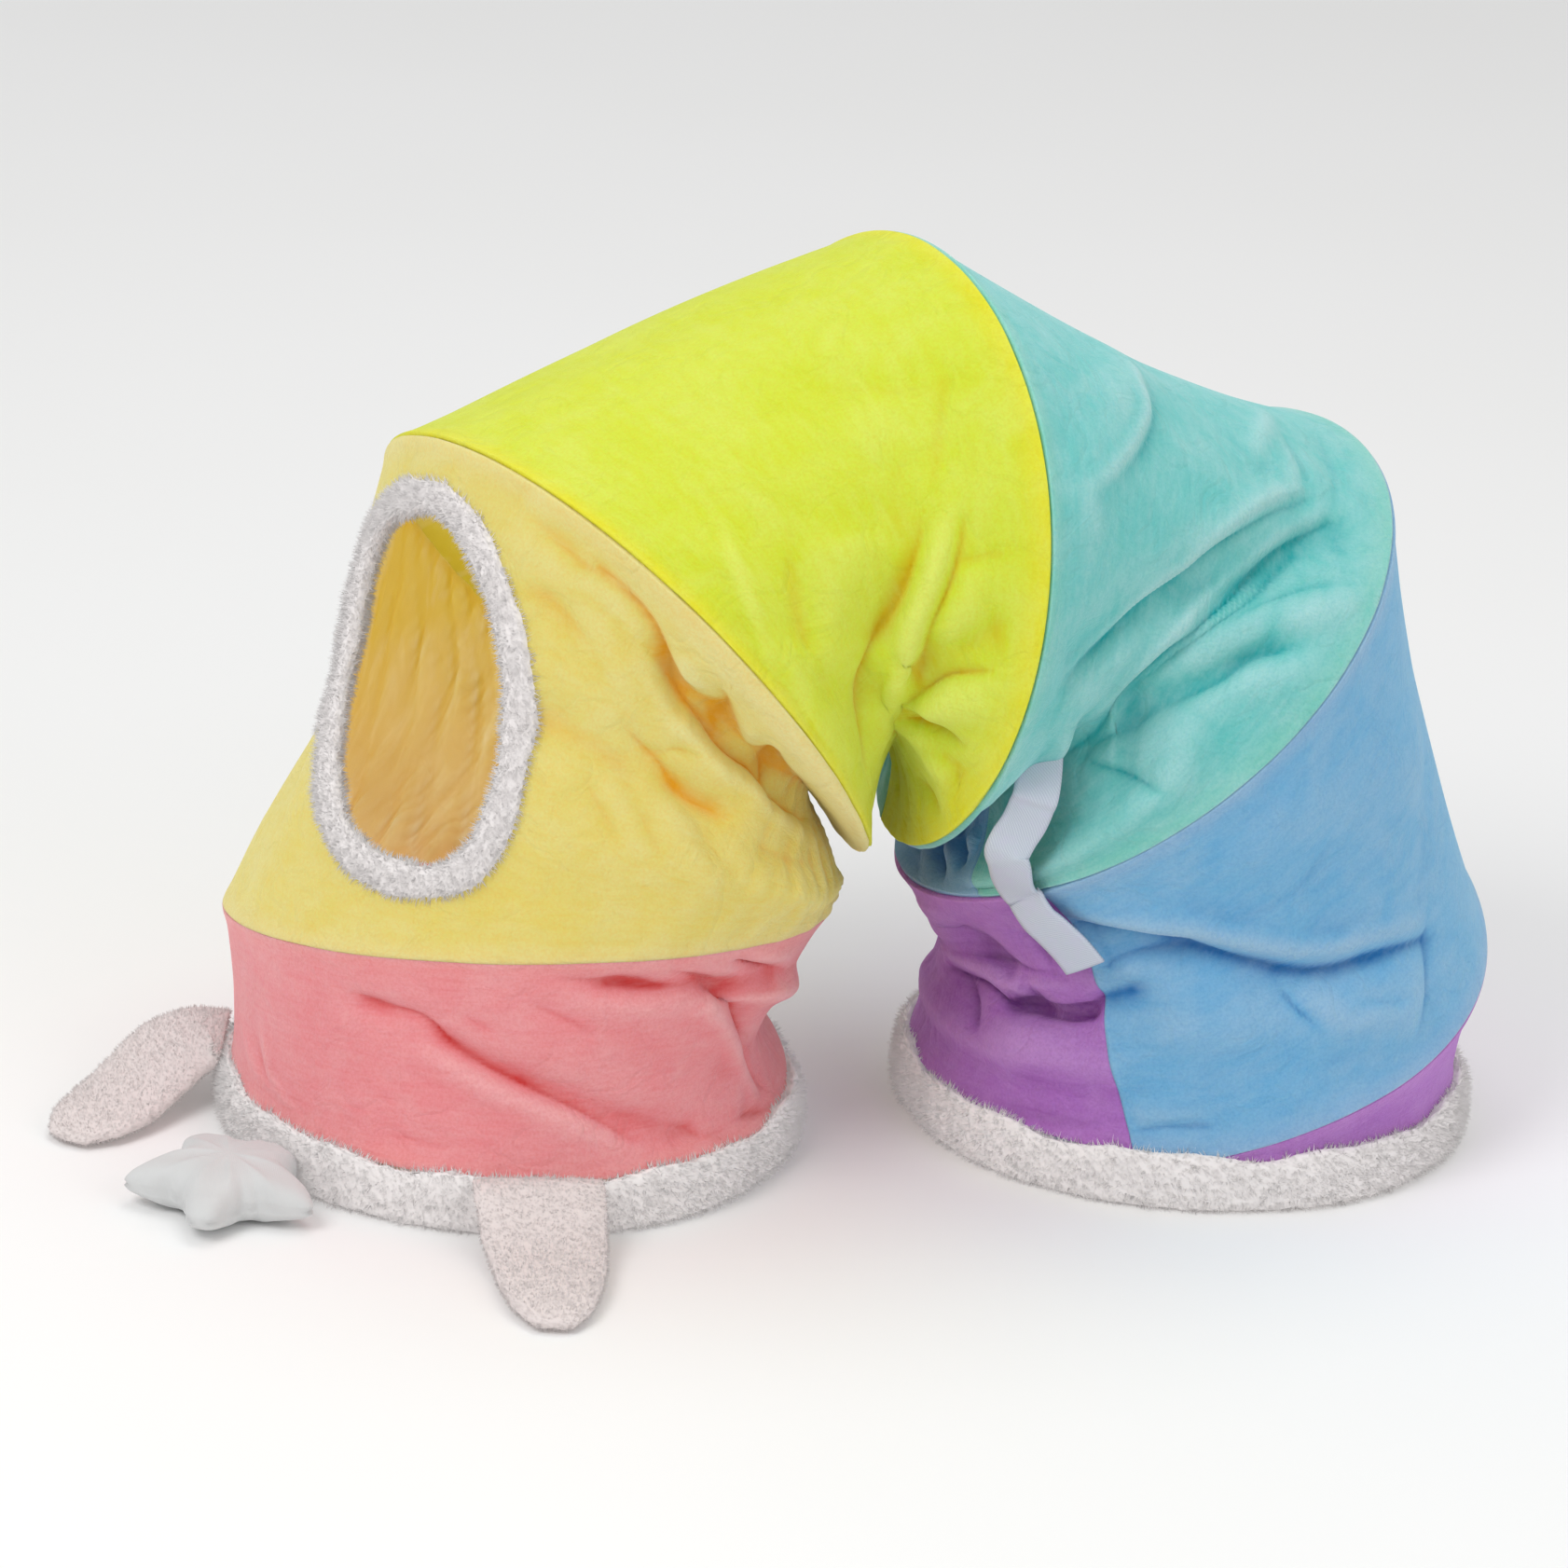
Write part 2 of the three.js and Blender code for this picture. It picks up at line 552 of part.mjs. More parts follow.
// A padded flap along a middle line: a flat underside and a rounded top.
function earGeometry(line) {
  const profile = [
    [-0.5, -0.15], [-0.46, 0.22], [-0.28, 0.46], [0, 0.54], [0.28, 0.46],
    [0.46, 0.22], [0.5, -0.15], [0.42, -0.5], [-0.42, -0.5],
  ];
  const centres = line.map((row) => new THREE.Vector3(row.x, row.y, row.z));
  const sections = line.map((row, i) => {
    const before = centres[Math.max(i - 1, 0)];
    const after = centres[Math.min(i + 1, line.length - 1)];
    const ahead = after.clone().sub(before).normalize();
    const aside = ahead.clone().cross(UP).normalize();
    const top = aside.clone().cross(ahead).normalize();
    return profile.map(([w, h]) => {
      const point = centres[i].clone();
      point.addScaledVector(aside, w * row.width).addScaledVector(top, h * row.thick);
      point.z = Math.max(point.z, 0);
      return point;
    });
  });
  return loftGeometry(sections, false);
}

// A stuffed five-pointed star lying on the floor: two rings of points about a high middle.
function starGeometry() {
  const steps = 30;
  const rings = [
    { share: 0.42, high: 0.94, low: 0 },
    { share: 0.8, high: 0.72, low: 0.05 },
    { share: 1, high: 0.46, low: 0.3 },
  ];
  const place = (k, share, height) => {
    const point = Math.cos((5 * 2 * Math.PI * k) / steps);
    const reach = STAR_REACH * (0.74 + 0.26 * point * (0.75 + 0.25 * point)) * share;
    const angle = (2 * Math.PI * k) / steps + THREE.MathUtils.degToRad(STAR.turn);
    const tip = 1 - 0.3 * share * Math.max(point, 0);
    const z = STAR_THICK * (0.4 + (height - 0.4) * tip);
    return new THREE.Vector3(STAR.x + reach * Math.cos(angle), STAR.y + reach * Math.sin(angle), z);
  };
  const stack = [
    ...rings.map(({ share, high }) => ({ share, height: high })),
    ...rings.map(({ share, low }) => ({ share, height: low })).reverse(),
  ];
  const points = stack.flatMap(({ share, height }) => (
    Array.from({ length: steps }, (_, k) => place(k, share, height))
  ));
  const top = points.push(new THREE.Vector3(STAR.x, STAR.y, STAR_THICK)) - 1;
  const floor = points.push(new THREE.Vector3(STAR.x, STAR.y, 0)) - 1;
  const index = [];
  for (let k = 0; k < steps; k += 1) {
    const next = (k + 1) % steps;
    index.push(top, k, next);
    for (let ring = 0; ring < stack.length - 1; ring += 1) {
      const a = ring * steps;
      const b = a + steps;
      index.push(a + k, b + k, b + next, a + k, b + next, a + next);
    }
    const last = (stack.length - 1) * steps;
    index.push(floor, last + next, last + k);
  }
  return indexed(points, index);
}

// A point of the strap's middle line, and the way out from the cloth there.
function strapPoint({ turn, at, off }) {
  const isNext = at > 1;
  const t = isNext ? turn + 1 : turn;
  const a = isNext ? at - 1 : at;
  const low = seam(t);
  const high = seam(t + 1);
  const point = low.point.clone().lerp(high.point, a);
  const outward = point.clone().sub(low.centre.clone().lerp(high.centre, a)).normalize();
  return { point: point.addScaledVector(outward, off), outward };
}

function strapGeometry() {
  const places = STRAP.map(strapPoint);
  const sections = places.map(({ point, outward }, i) => {
    const before = places[Math.max(i - 1, 0)].point;
    const after = places[Math.min(i + 1, places.length - 1)].point;
    const ahead = after.clone().sub(before).normalize();
    const aside = ahead.clone().cross(outward).normalize();
    const face = aside.clone().cross(ahead).normalize();
    const corner = (w, h) => (
      point.clone().addScaledVector(aside, w * STRAP_WIDTH).addScaledVector(face, h * STRAP_THICK)
    );
    return [corner(-0.5, 0.5), corner(0.5, 0.5), corner(0.5, -0.5), corner(-0.5, -0.5)];
  });
  return loftGeometry(sections, false);
}

const group = new THREE.Group();

function addPart(name, geometry, colour, roughness) {
  const material = new THREE.MeshStandardMaterial({ color: colour, roughness, metalness: 0 });
  const mesh = new THREE.Mesh(geometry, material);
  mesh.name = name;
  group.add(mesh);
}

const WHITE_PLUSH = 0xf1eeee;
const hole = toManifold(trimGeometry(TRIM_CLEARANCE)).add(toManifold(plugGeometry()));
for (const strip of STRIPS) {
  let geometry = stripGeometry(strip);
  if (strip.name === 'panel_pale_yellow') {
    geometry = fromManifold(toManifold(geometry).subtract(hole));
  }
  addPart(strip.name, geometry, strip.colour, 0.9);
}
addPart('hem_pink_end', hemGeometry(-1), WHITE_PLUSH, 0.95);
addPart('hem_purple_end', hemGeometry(1), WHITE_PLUSH, 0.95);
addPart('opening_trim', trimGeometry(), WHITE_PLUSH, 0.95);
for (const ear of EARS) addPart(ear.name, earGeometry(ear.line), WHITE_PLUSH, 0.95);
const hemRoom = toManifold(hemGeometry(-1, HEM_CLEARANCE));
addPart('star', fromManifold(toManifold(starGeometry()).subtract(hemRoom)), 0xf6f3f2, 0.85);
addPart('strap', strapGeometry(), 0xd9d6ea, 0.7);

// The origin is under the middle of the object, on the floor.
group.updateMatrixWorld(true);
const middle = new THREE.Box3().setFromObject(group).getCenter(new THREE.Vector3());
group.position.set(-middle.x, -middle.y, 0);
group.updateMatrixWorld(true);

export default group;
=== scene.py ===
import math

import bpy
import numpy as np
from mathutils import Matrix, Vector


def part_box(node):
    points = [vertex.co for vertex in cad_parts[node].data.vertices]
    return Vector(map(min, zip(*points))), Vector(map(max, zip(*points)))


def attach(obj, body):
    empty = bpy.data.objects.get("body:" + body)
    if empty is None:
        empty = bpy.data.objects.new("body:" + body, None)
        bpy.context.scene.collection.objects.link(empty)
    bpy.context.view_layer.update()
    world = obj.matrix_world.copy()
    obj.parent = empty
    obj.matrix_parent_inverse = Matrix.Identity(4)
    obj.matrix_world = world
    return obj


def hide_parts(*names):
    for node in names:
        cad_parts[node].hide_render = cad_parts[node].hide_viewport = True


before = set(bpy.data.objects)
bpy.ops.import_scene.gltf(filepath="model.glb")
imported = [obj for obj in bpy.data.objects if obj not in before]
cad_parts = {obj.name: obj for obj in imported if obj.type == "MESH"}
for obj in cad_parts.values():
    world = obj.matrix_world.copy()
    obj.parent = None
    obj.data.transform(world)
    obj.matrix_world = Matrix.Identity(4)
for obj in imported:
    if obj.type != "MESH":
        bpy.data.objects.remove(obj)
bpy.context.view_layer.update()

# Spiral cat tunnel. Lengths are in millimetres in the design's own frame, where x = 0 is midway
# between the two feet, and to_frame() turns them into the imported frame's metres.
#
# A place on the cloth is (turn, at). turn counts the turns of the wire from the pink end: whole
# numbers are on the outside of the bend, .25 at the front, .5 in the crotch and .75 at the back.
# at goes across one strip of cloth, from 0 on the seam at that turn to 1 on the seam one turn on.

MM = 0.001

# Sizes shared with the solids
SHEET = 2.4
FEET_X = 147
FEET_Y = 36
HEM_RADIUS = 119
HEM_HEIGHT = 23
HEM_WIDTH = 19
HEM_WAVE = 2
HEM_STEPS = 46
SEAM_GAP = 0.8
FIRST_TURN = -0.5
LAST_TURN = 4.24
STRIP_WIDTH = 235
SEAM_SKEW = 0.06
EDGE_HOLD = 1 / 12
PLEAT_DEPTH = 13
PLEAT_PITCH = 0.145
PLEAT_TURN = 0.68
PLEAT_SPAN = 0.15
TRIM_WIDTH = 17
TRIM_THICK = 9
STAR_REACH = 43
STAR_THICK = 25
STRAP_WIDTH = 19.5
STRAP_THICK = 1.2
WIRE_TURN = 2 * math.pi * 128

RING_KEYS = ("turn", "x", "y", "z", "r", "lean", "yaw", "tilt")
RINGS = np.array([
    (FIRST_TURN, -FEET_X, -FEET_Y, HEM_HEIGHT, HEM_RADIUS, 0, 0, 0),
    (0, -146, -18, 80, 128, 3, 5, -3),
    (1, -112, -26, 216, 129, 41, -6, 21),
    (2, 4, -8, 269, 129, 93, 6, 10),
    (3, 114, 27, 212, 129, 137, 6, 0),
    (4, 147, 32, 82, 128, 180, -6, 4),
    (LAST_TURN, FEET_X, FEET_Y, HEM_HEIGHT, HEM_RADIUS, 180, 0, 0),
], float)

# The valley each strip sags into: turn, where across the strip, depth, fullness of its sides.
VALLEY_KEYS = ("turn", "at", "depth", "full")
VALLEY = np.array([
    (-1.5, 0.5, 0, 0), (-1, 0.5, 2, 0.6), (-0.75, 0.4, 4, 0.6), (-0.6, 0.34, 11, 0.2),
    (-0.5, 0.32, 20, 0.2), (-0.35, 0.45, 30, 0.4), (-0.15, 0.5, 14, 0.7), (0, 0.42, 11, -0.5),
    (0.05, 0.5, 4, -0.2), (0.12, 0.75, 2, 0), (0.18, 0.88, 9, -0.4), (0.25, 0.83, 24, -0.6),
    (0.32, 0.82, 32, -0.9), (0.4, 0.84, 38, -1), (0.5, 0.82, 42, -0.8), (0.65, 0.55, 62, 0.4),
    (0.8, 0.5, 30, 0.8), (0.93, 0.5, -9, 0.8), (1.02, 0.5, -4, 0.8), (1.1, 0.75, 6, 0),
    (1.18, 0.66, 14, -0.3), (1.25, 0.55, 26, -0.3), (1.31, 0.48, 36, -0.3), (1.4, 0.56, 46, -0.4),
    (1.5, 0.56, 50, 0), (1.65, 0.5, 68, 0.6), (1.82, 0.5, 26, 0.8), (2, 0.5, 7, 0.6),
    (2.08, 0.82, 9, -0.2), (2.16, 0.61, 18, -0.4), (2.24, 0.48, 30, -0.4), (2.3, 0.42, 38, -0.5),
    (2.38, 0.42, 45, -0.2), (2.5, 0.45, 52, 0.3), (2.65, 0.5, 66, 0.6), (2.82, 0.5, 26, 0.8),
    (3, 0.4, 4, 0.6), (3.08, 0.72, 7, 0), (3.17, 0.6, 13, -0.2), (3.25, 0.38, 15, 0),
    (3.35, 0.34, 19, 0.3), (3.5, 0.38, 21, 0.4), (3.7, 0.5, 18, 0.7), (3.9, 0.5, 3, 0.6),
    (4.3, 0.5, 0, 0),
], float)

# The solids' own soft creases: turn, at, to turn, to at, depth, half width.
CREASES = (
    (-0.84, 0.73, -0.64, 0.12, 4, 14), (-0.7, 0.87, -0.6, 0.74, 5, 12),
    (-0.6, 0.72, -0.54, 0.62, -7, 14), (0.19, 0.6, 0.3, 0.56, 5, 15),
    (0.22, 0.36, 0.38, 0.4, -3, 26), (0.42, 0.42, 0.55, 0.4, -9, 50),
    (0.23, 0.97, 0.36, 0.96, -4, 10), (1.2, 0.22, 1.3, 0.12, -4, 18),
    (1.27, 0.62, 1.24, 0.88, 7, 13), (1.32, 0.58, 1.35, 0.96, 9, 14),
    (2.02, 0.42, 2.15, 0.15, -4, 16), (2.07, 0.9, 2.24, 0.18, 7, 13),
    (2.15, 0.82, 2.23, 0.6, 9, 14), (2.22, 0.4, 2.34, 0.12, -4, 15),
    (2.26, 0.8, 2.38, 0.82, -7, 20), (3.06, 0.45, 3.2, 0.2, -4, 20),
    (3.1, 0.85, 3.25, 0.62, -5, 18), (3.36, 0.56, 3.29, 0.52, 8, 12),
    (3.43, 0.22, 3.37, 0.55, 6, 13), (3.55, 0.75, 3.3, 0.72, -4, 16),
)

# The folds laid over them: depth (a ridge where negative), half width, height of the lip beside it,
# then turn and at of each place on the cloth that the fold runs through.
FOLDS = {
    "pink": (
        (4, 3.5, 1.5, -0.856, 0.8, -0.833, 0.74, -0.808, 0.7, -0.791, 0.59, -0.768, 0.49, -0.738,
         0.39, -0.706, 0.28, -0.669, 0.13),
        (-2, 8, 0, -0.821, 0.62, -0.778, 0.46, -0.731, 0.29, -0.694, 0.18),
        (2, 4, 0, -0.786, 0.74, -0.763, 0.65),
        (-1.5, 4, 0, -0.951, 0.3, -0.926, 0.18, -0.893, 0.11),
        (-1.5, 4, 0, -0.926, 0.47, -0.908, 0.21, -0.878, 0.08),
        (1.5, 5, 0, -0.938, 0.4, -0.916, 0.2, -0.886, 0.08),
        (7, 3.5, -3, -0.631, 0.93, -0.609, 0.86, -0.579, 0.8),
        (6, 4, 3, -0.669, 0.9, -0.639, 0.79, -0.616, 0.66, -0.576, 0.39, -0.546, 0.14),
        (3, 5, 1, -0.738, 0.93, -0.691, 0.85, -0.661, 0.82),
        (5, 3.5, 2, -0.584, 0.08, -0.561, 0.05, -0.539, 0.01),
        (2.5, 5, 0, -0.639, 0.16, -0.616, 0.07, -0.591, 0.04),
        (2, 4, 0, -0.753, 0.82, -0.721, 0.7, -0.709, 0.64),
        (1.5, 5, 0, -0.816, 0.14, -0.771, 0.12),
        (-1.5, 7, 0, -0.709, 0.35, -0.661, 0.33, -0.614, 0.31),
    ),
    "pale": (
        (8, 4, 3, 0.178, 0.93, 0.195, 0.92, 0.21, 0.9, 0.225, 0.86, 0.248, 0.8, 0.27, 0.78, 0.3,
         0.75, 0.33, 0.75, 0.358, 0.72, 0.413, 0.69),
        (5, 5, 0, 0.258, 0.9, 0.27, 0.86, 0.285, 0.8, 0.3, 0.78),
        (7, 4, 0, 0.313, 0.87, 0.345, 0.79, 0.355, 0.74),
        (-4, 7, 0, 0.23, 0.91, 0.25, 0.86),
        (-3, 6, 0, 0.288, 0.88, 0.328, 0.78),
        (4, 4.5, 1.5, 0.223, 0.67, 0.255, 0.61, 0.275, 0.57, 0.31, 0.55),
        (2.5, 4, 0, 0.248, 0.63, 0.26, 0.68, 0.28, 0.7),
        (2.5, 9, 0, 0.14, 0.82, 0.155, 0.83, 0.185, 0.79, 0.218, 0.7),
        (-3, 9, 0, 0.158, 0.88, 0.188, 0.82, 0.233, 0.71, 0.258, 0.66),
        (2.5, 7, 1, 0.13, 0.94, 0.148, 0.93, 0.163, 0.92, 0.178, 0.93),
        (2.5, 8, 0, 0.213, 0.53, 0.235, 0.46, 0.26, 0.37),
        (2.5, 8, 0, 0.235, 0.55, 0.26, 0.47, 0.285, 0.36),
        (-2, 8, 0, 0.22, 0.55, 0.248, 0.47, 0.275, 0.35),
        (3, 9, 0, 0.278, 0.55, 0.313, 0.45, 0.35, 0.31),
        (-2, 8, 0, 0.26, 0.54, 0.293, 0.44, 0.325, 0.3),
        (4, 10, 0, 0.34, 0.53, 0.37, 0.53, 0.413, 0.55),
        (5, 20, -1, -0.005, 0.8, 0, 0.65, 0.008, 0.5, 0.015, 0.35, 0.03, 0.25),
    ),
    "lemon": (
        (-1.6, 3.5, 0, 1.167, 0.26, 1.206, 0.2, 1.251, 0.11, 1.271, 0.04),
        (4, 14, 0, 1.167, 0.42, 1.206, 0.34, 1.249, 0.27, 1.289, 0.25),
        (-3, 10, 0, 1.194, 0.47, 1.244, 0.34, 1.271, 0.23),
        (7, 6, -4, 1.179, 0.71, 1.219, 0.62, 1.251, 0.52, 1.289, 0.42, 1.334, 0.34, 1.364, 0.29),
        (-3, 7, 0, 1.189, 0.75, 1.224, 0.67, 1.284, 0.57, 1.361, 0.44),
        (5, 3.5, 1.5, 1.174, 0.81, 1.209, 0.75, 1.239, 0.68, 1.264, 0.65, 1.299, 0.6),
        (6, 4, 1.5, 1.309, 0.59, 1.284, 0.67, 1.271, 0.74, 1.261, 0.86),
        (6, 4, 1.5, 1.336, 0.57, 1.329, 0.69, 1.319, 0.82),
        (5, 5, 0, 1.411, 0.71, 1.396, 0.8, 1.386, 0.9),
        (-4, 8, 0, 1.309, 0.62, 1.291, 0.76, 1.281, 0.88),
        (-3, 8, 0, 1.359, 0.68, 1.351, 0.89),
        (-3, 8, 0, 1.199, 0.83, 1.221, 0.78, 1.251, 0.72),
        (2, 5, 0, 1.199, 0.79, 1.194, 0.85, 1.194, 0.9),
        (2.5, 12, 0, 1.089, 0.87, 1.132, 0.8, 1.162, 0.76),
        (-2, 12, 0, 1.092, 0.74, 1.137, 0.65),
    ),
    "aqua": (
        (-9, 7, 0, 2.27, 0.33, 2.29, 0.325, 2.31, 0.325, 2.33, 0.33),
        (-2.5, 3.5, 0, 2.025, 0.4, 2.048, 0.38, 2.068, 0.37, 2.095, 0.32, 2.125, 0.23, 2.145, 0.15),
        (2, 5, 0, 2.018, 0.43, 2.038, 0.43, 2.06, 0.41, 2.09, 0.36, 2.12, 0.28),
        (-3, 6, 0, 1.98, 0.79, 2.02, 0.72, 2.045, 0.68),
        (-3, 8, 0, 2.008, 0.78, 2.043, 0.78, 2.065, 0.73, 2.098, 0.62, 2.125, 0.52),
        (3, 6, 0, 2.005, 0.79, 2.035, 0.81, 2.053, 0.8),
        (3.5, 9, 0, 1.985, 0.89, 2.025, 0.89, 2.05, 0.88),
        (5, 2.6, 1.6, 2.055, 0.81, 2.078, 0.72, 2.12, 0.59, 2.143, 0.53, 2.173, 0.43, 2.21, 0.33,
         2.245, 0.22),
        (6.5, 2.8, 2, 2.06, 0.88, 2.088, 0.79, 2.123, 0.71, 2.153, 0.64, 2.173, 0.61, 2.2, 0.56,
         2.235, 0.52, 2.275, 0.49, 2.323, 0.45),
        (3, 2.4, 1, 2.088, 0.825, 2.123, 0.745, 2.153, 0.675, 2.173, 0.645, 2.2, 0.595, 2.235,
         0.55),
        (5, 8, 0, 2.1, 0.92, 2.113, 0.83, 2.14, 0.74, 2.17, 0.67),
        (-4, 8, 0, 2.103, 0.96, 2.135, 0.83, 2.17, 0.72, 2.193, 0.66),
        (5, 5, 0, 2.148, 0.87, 2.163, 0.8, 2.185, 0.76, 2.215, 0.68),
        (-4, 8, 0, 2.153, 0.91, 2.175, 0.82, 2.195, 0.76, 2.22, 0.71),
        (6, 5, 0, 2.218, 0.66, 2.243, 0.6, 2.273, 0.53, 2.29, 0.52),
        (5, 4, 0, 2.29, 0.53, 2.273, 0.64, 2.258, 0.74, 2.253, 0.82),
        (4, 12, 0, 2.265, 0.59, 2.25, 0.68),
        (-3, 10, 0, 2.21, 0.77, 2.23, 0.78, 2.248, 0.86),
    ),
    "blue": (
        (9, 4.5, -4, 3.341, 0.16, 3.314, 0.24, 3.279, 0.33, 3.244, 0.42, 3.219, 0.5, 3.181, 0.61,
         3.151, 0.67, 3.121, 0.71, 3.099, 0.74, 3.067, 0.79),
        (6, 7, 0, 3.311, 0.41, 3.289, 0.39, 3.254, 0.42, 3.236, 0.46),
        (-3, 9, 0, 3.329, 0.08, 3.296, 0.2, 3.246, 0.36, 3.209, 0.48),
        (4, 4, 0, 3.189, 0.64, 3.176, 0.72, 3.164, 0.78),
        (2.5, 4, 0, 3.141, 0.77, 3.096, 0.85),
        (-3, 9, 0, 3.179, 0.66, 3.151, 0.78, 3.111, 0.85),
        (3, 5, 0, 3.059, 0.75, 3.074, 0.86, 3.094, 0.93),
        (3, 4, 0, 3.286, 0.94, 3.264, 0.91, 3.234, 0.91),
        (-2.5, 7, 0, 3.286, 0.9, 3.246, 0.87),
        (2, 12, 0, 3.146, 0.33, 3.171, 0.42, 3.216, 0.4),
        (7, 3, 0, 2.47, 0.82, 2.442, 0.86, 2.42, 0.93),
        (-6, 4, 0, 2.48, 0.87, 2.45, 0.91, 2.427, 0.96),
        (-6, 4, 0, 2.455, 0.78, 2.427, 0.82, 2.412, 0.89),
        (7, 3, 0, 2.44, 0.72, 2.422, 0.75, 2.412, 0.8),
        (-5, 4, 0, 2.425, 0.67, 2.412, 0.71, 2.412, 0.75),
        (6, 3, 0, 2.487, 0.92, 2.467, 0.93, 2.445, 0.97),
    ),
    "purple": (
        (-9, 17, 0, 3.425, 0.05, 3.445, 0.2, 3.46, 0.33, 3.48, 0.5),
        (4, 4, 0, 3.491, 0.47, 3.419, 0.42, 3.359, 0.42, 3.336, 0.44),
        (9, 4, -5, 3.459, 0.54, 3.411, 0.52, 3.379, 0.57, 3.336, 0.58, 3.314, 0.57, 3.294, 0.57),
        (5, 5, 0, 3.451, 0.53, 3.424, 0.61, 3.399, 0.7),
        (3, 5, 0, 3.394, 0.99, 3.341, 0.96, 3.306, 0.94),
        (3, 4, 0, 3.366, 0.23, 3.346, 0.39),
        (-3, 9, 0, 3.391, 0.66, 3.351, 0.67, 3.319, 0.66),
    ),
}

OPENING_TURN, OPENING_AT = 0.105, 0.54
OPENING_HALF_TURN, OPENING_HALF_AT, OPENING_SLANT = 0.07, 0.355, -0.1
OPENING_CORNERS = ((2.62, 0.26), (5.38, 0.14))
CORNER_TIGHT = 8

EARS = {
    "ear_front": (
        (-128, -160, 26.5, 58, 5), (-127, -167, 26, 59, 8), (-125, -175, 19, 58, 11),
        (-123, -185, 11, 56, 13), (-120, -201, 7, 52, 13), (-118, -222, 6.4, 46, 13),
        (-116, -240, 5.4, 36, 11), (-115, -252, 4, 20, 7),
    ),
    "ear_back": (
        (-272, -27, 26.5, 50, 5), (-280, -27, 26.5, 52, 8), (-289, -32, 23, 52, 11),
        (-298, -43, 17, 48, 13), (-307, -57, 11, 46, 13), (-316, -73, 7, 46, 13),
        (-325, -88, 6, 40, 11), (-332, -100, 4, 22, 7),
    ),
}
STAR_X, STAR_Y, STAR_TURN = -259, -150, 43

STRAP = np.array([
    (2.312, 0.37, -7.6), (2.319, 0.4, -6), (2.328, 0.44, -3.5), (2.338, 0.47, 0),
    (2.344, 0.52, 3.5), (2.345, 0.62, 5), (2.348, 0.8, 5.5), (2.347, 0.97, 5.2), (2.34, 1.09, 3.8),
    (2.332, 1.17, 1.5), (2.322, 1.27, -2), (2.314, 1.36, -5),
])
STRAP_ROOT = (2.302, 0.31, -25)


# ---- The cloth's shape ----

def column(rows, keys, key):
    return rows[:, keys.index(key)]


def spans(knots, turn):
    t = np.clip(turn, knots[0], knots[-1])
    i = np.clip(np.searchsorted(knots, t, side="right") - 1, 0, len(knots) - 2)
    return i, (t - knots[i]) / (knots[i + 1] - knots[i])


def ring_value(key, turn):
    """Smooth curve through the rings' rows."""
    knots = column(RINGS, RING_KEYS, "turn")
    values = column(RINGS, RING_KEYS, key)
    rows = np.arange(len(knots))
    before = np.maximum(rows - 1, 0)
    after = np.minimum(rows + 1, len(knots) - 1)
    slope = (values[after] - values[before]) / (knots[after] - knots[before])
    i, u = spans(knots, turn)
    span = knots[i + 1] - knots[i]
    return ((1 + 2 * u) * (1 - u) ** 2 * values[i] + u * (1 - u) ** 2 * span * slope[i]
            + u * u * (3 - 2 * u) * values[i + 1] + u * u * (u - 1) * span * slope[i + 1])


def valley_value(key, turn):
    """The valley's value at a turn, level at each row."""
    values = column(VALLEY, VALLEY_KEYS, key)
    i, u = spans(column(VALLEY, VALLEY_KEYS, "turn"), turn)
    return values[i] + (values[i + 1] - values[i]) * u * u * (3 - 2 * u)


def unit(v):
    return v / np.maximum(np.linalg.norm(v, axis=-1, keepdims=True), 1e-9)


def turned(v, yaw):
    c, s = np.cos(yaw), np.sin(yaw)
    return np.stack([c * v[..., 0] - s * v[..., 1], s * v[..., 0] + c * v[..., 1], v[..., 2]], -1)


def seam(turn):
    """The seam's point at a turn and the middle of its ring."""
    turn = np.asarray(turn, float)
    lean, yaw, tilt = (np.radians(ring_value(key, turn)) for key in ("lean", "yaw", "tilt"))
    zero = np.zeros_like(lean)
    outer = np.stack([-np.cos(lean), zero, np.sin(lean)], -1)
    axis = np.stack([np.sin(lean), zero, np.cos(lean)], -1)
    front = np.stack([zero, -np.cos(tilt), zero], -1) + axis * np.sin(tilt)[..., None]
    centre = np.stack([ring_value(key, turn) for key in ("x", "y", "z")], -1)
    radius = ring_value("r", turn)[..., None]
    angle = 2 * np.pi * turn[..., None]
    point = centre + radius * (np.cos(angle) * turned(outer, yaw) + np.sin(angle) * turned(front, yaw))
    return point, centre


def crease_depth(turn, at):
    depth = np.zeros_like(turn)
    for turn_0, at_0, turn_1, at_1, deep, half in CREASES:
        along = (turn_1 - turn_0) * 2 * math.pi * HEM_RADIUS
        across = (at_1 - at_0) * STRIP_WIDTH
        x = (turn - turn_0) * 2 * math.pi * HEM_RADIUS
        y = (at - at_0) * STRIP_WIDTH
        length = math.hypot(along, across)
        u = (x * along + y * across) / length ** 2
        side = (x * across - y * along) / length
        past = np.maximum(np.maximum(-u, u - 1), 0) * length
        depth += deep * np.exp(-(side ** 2 + past ** 2) / half ** 2)
    return depth


def pleat_depth(turn, at):
    """The gathers at the back of the crotch."""
    part = turn - np.floor(turn)
    most = np.where(turn < 0, 0.3 * PLEAT_DEPTH, PLEAT_DEPTH)
    behind = np.exp(-(((part - PLEAT_TURN) / PLEAT_SPAN) ** 2))
    in_strip = np.sin(np.pi * np.clip(at, 0, 1)) ** 0.7
    even = np.cos(2 * np.pi * turn / PLEAT_PITCH + 1.6 * at)
    odd = np.cos(2 * np.pi * turn / (PLEAT_PITCH * 1.62) - 2.4 * at)
    return most * behind * in_strip * (0.7 * even + 0.3 * odd)


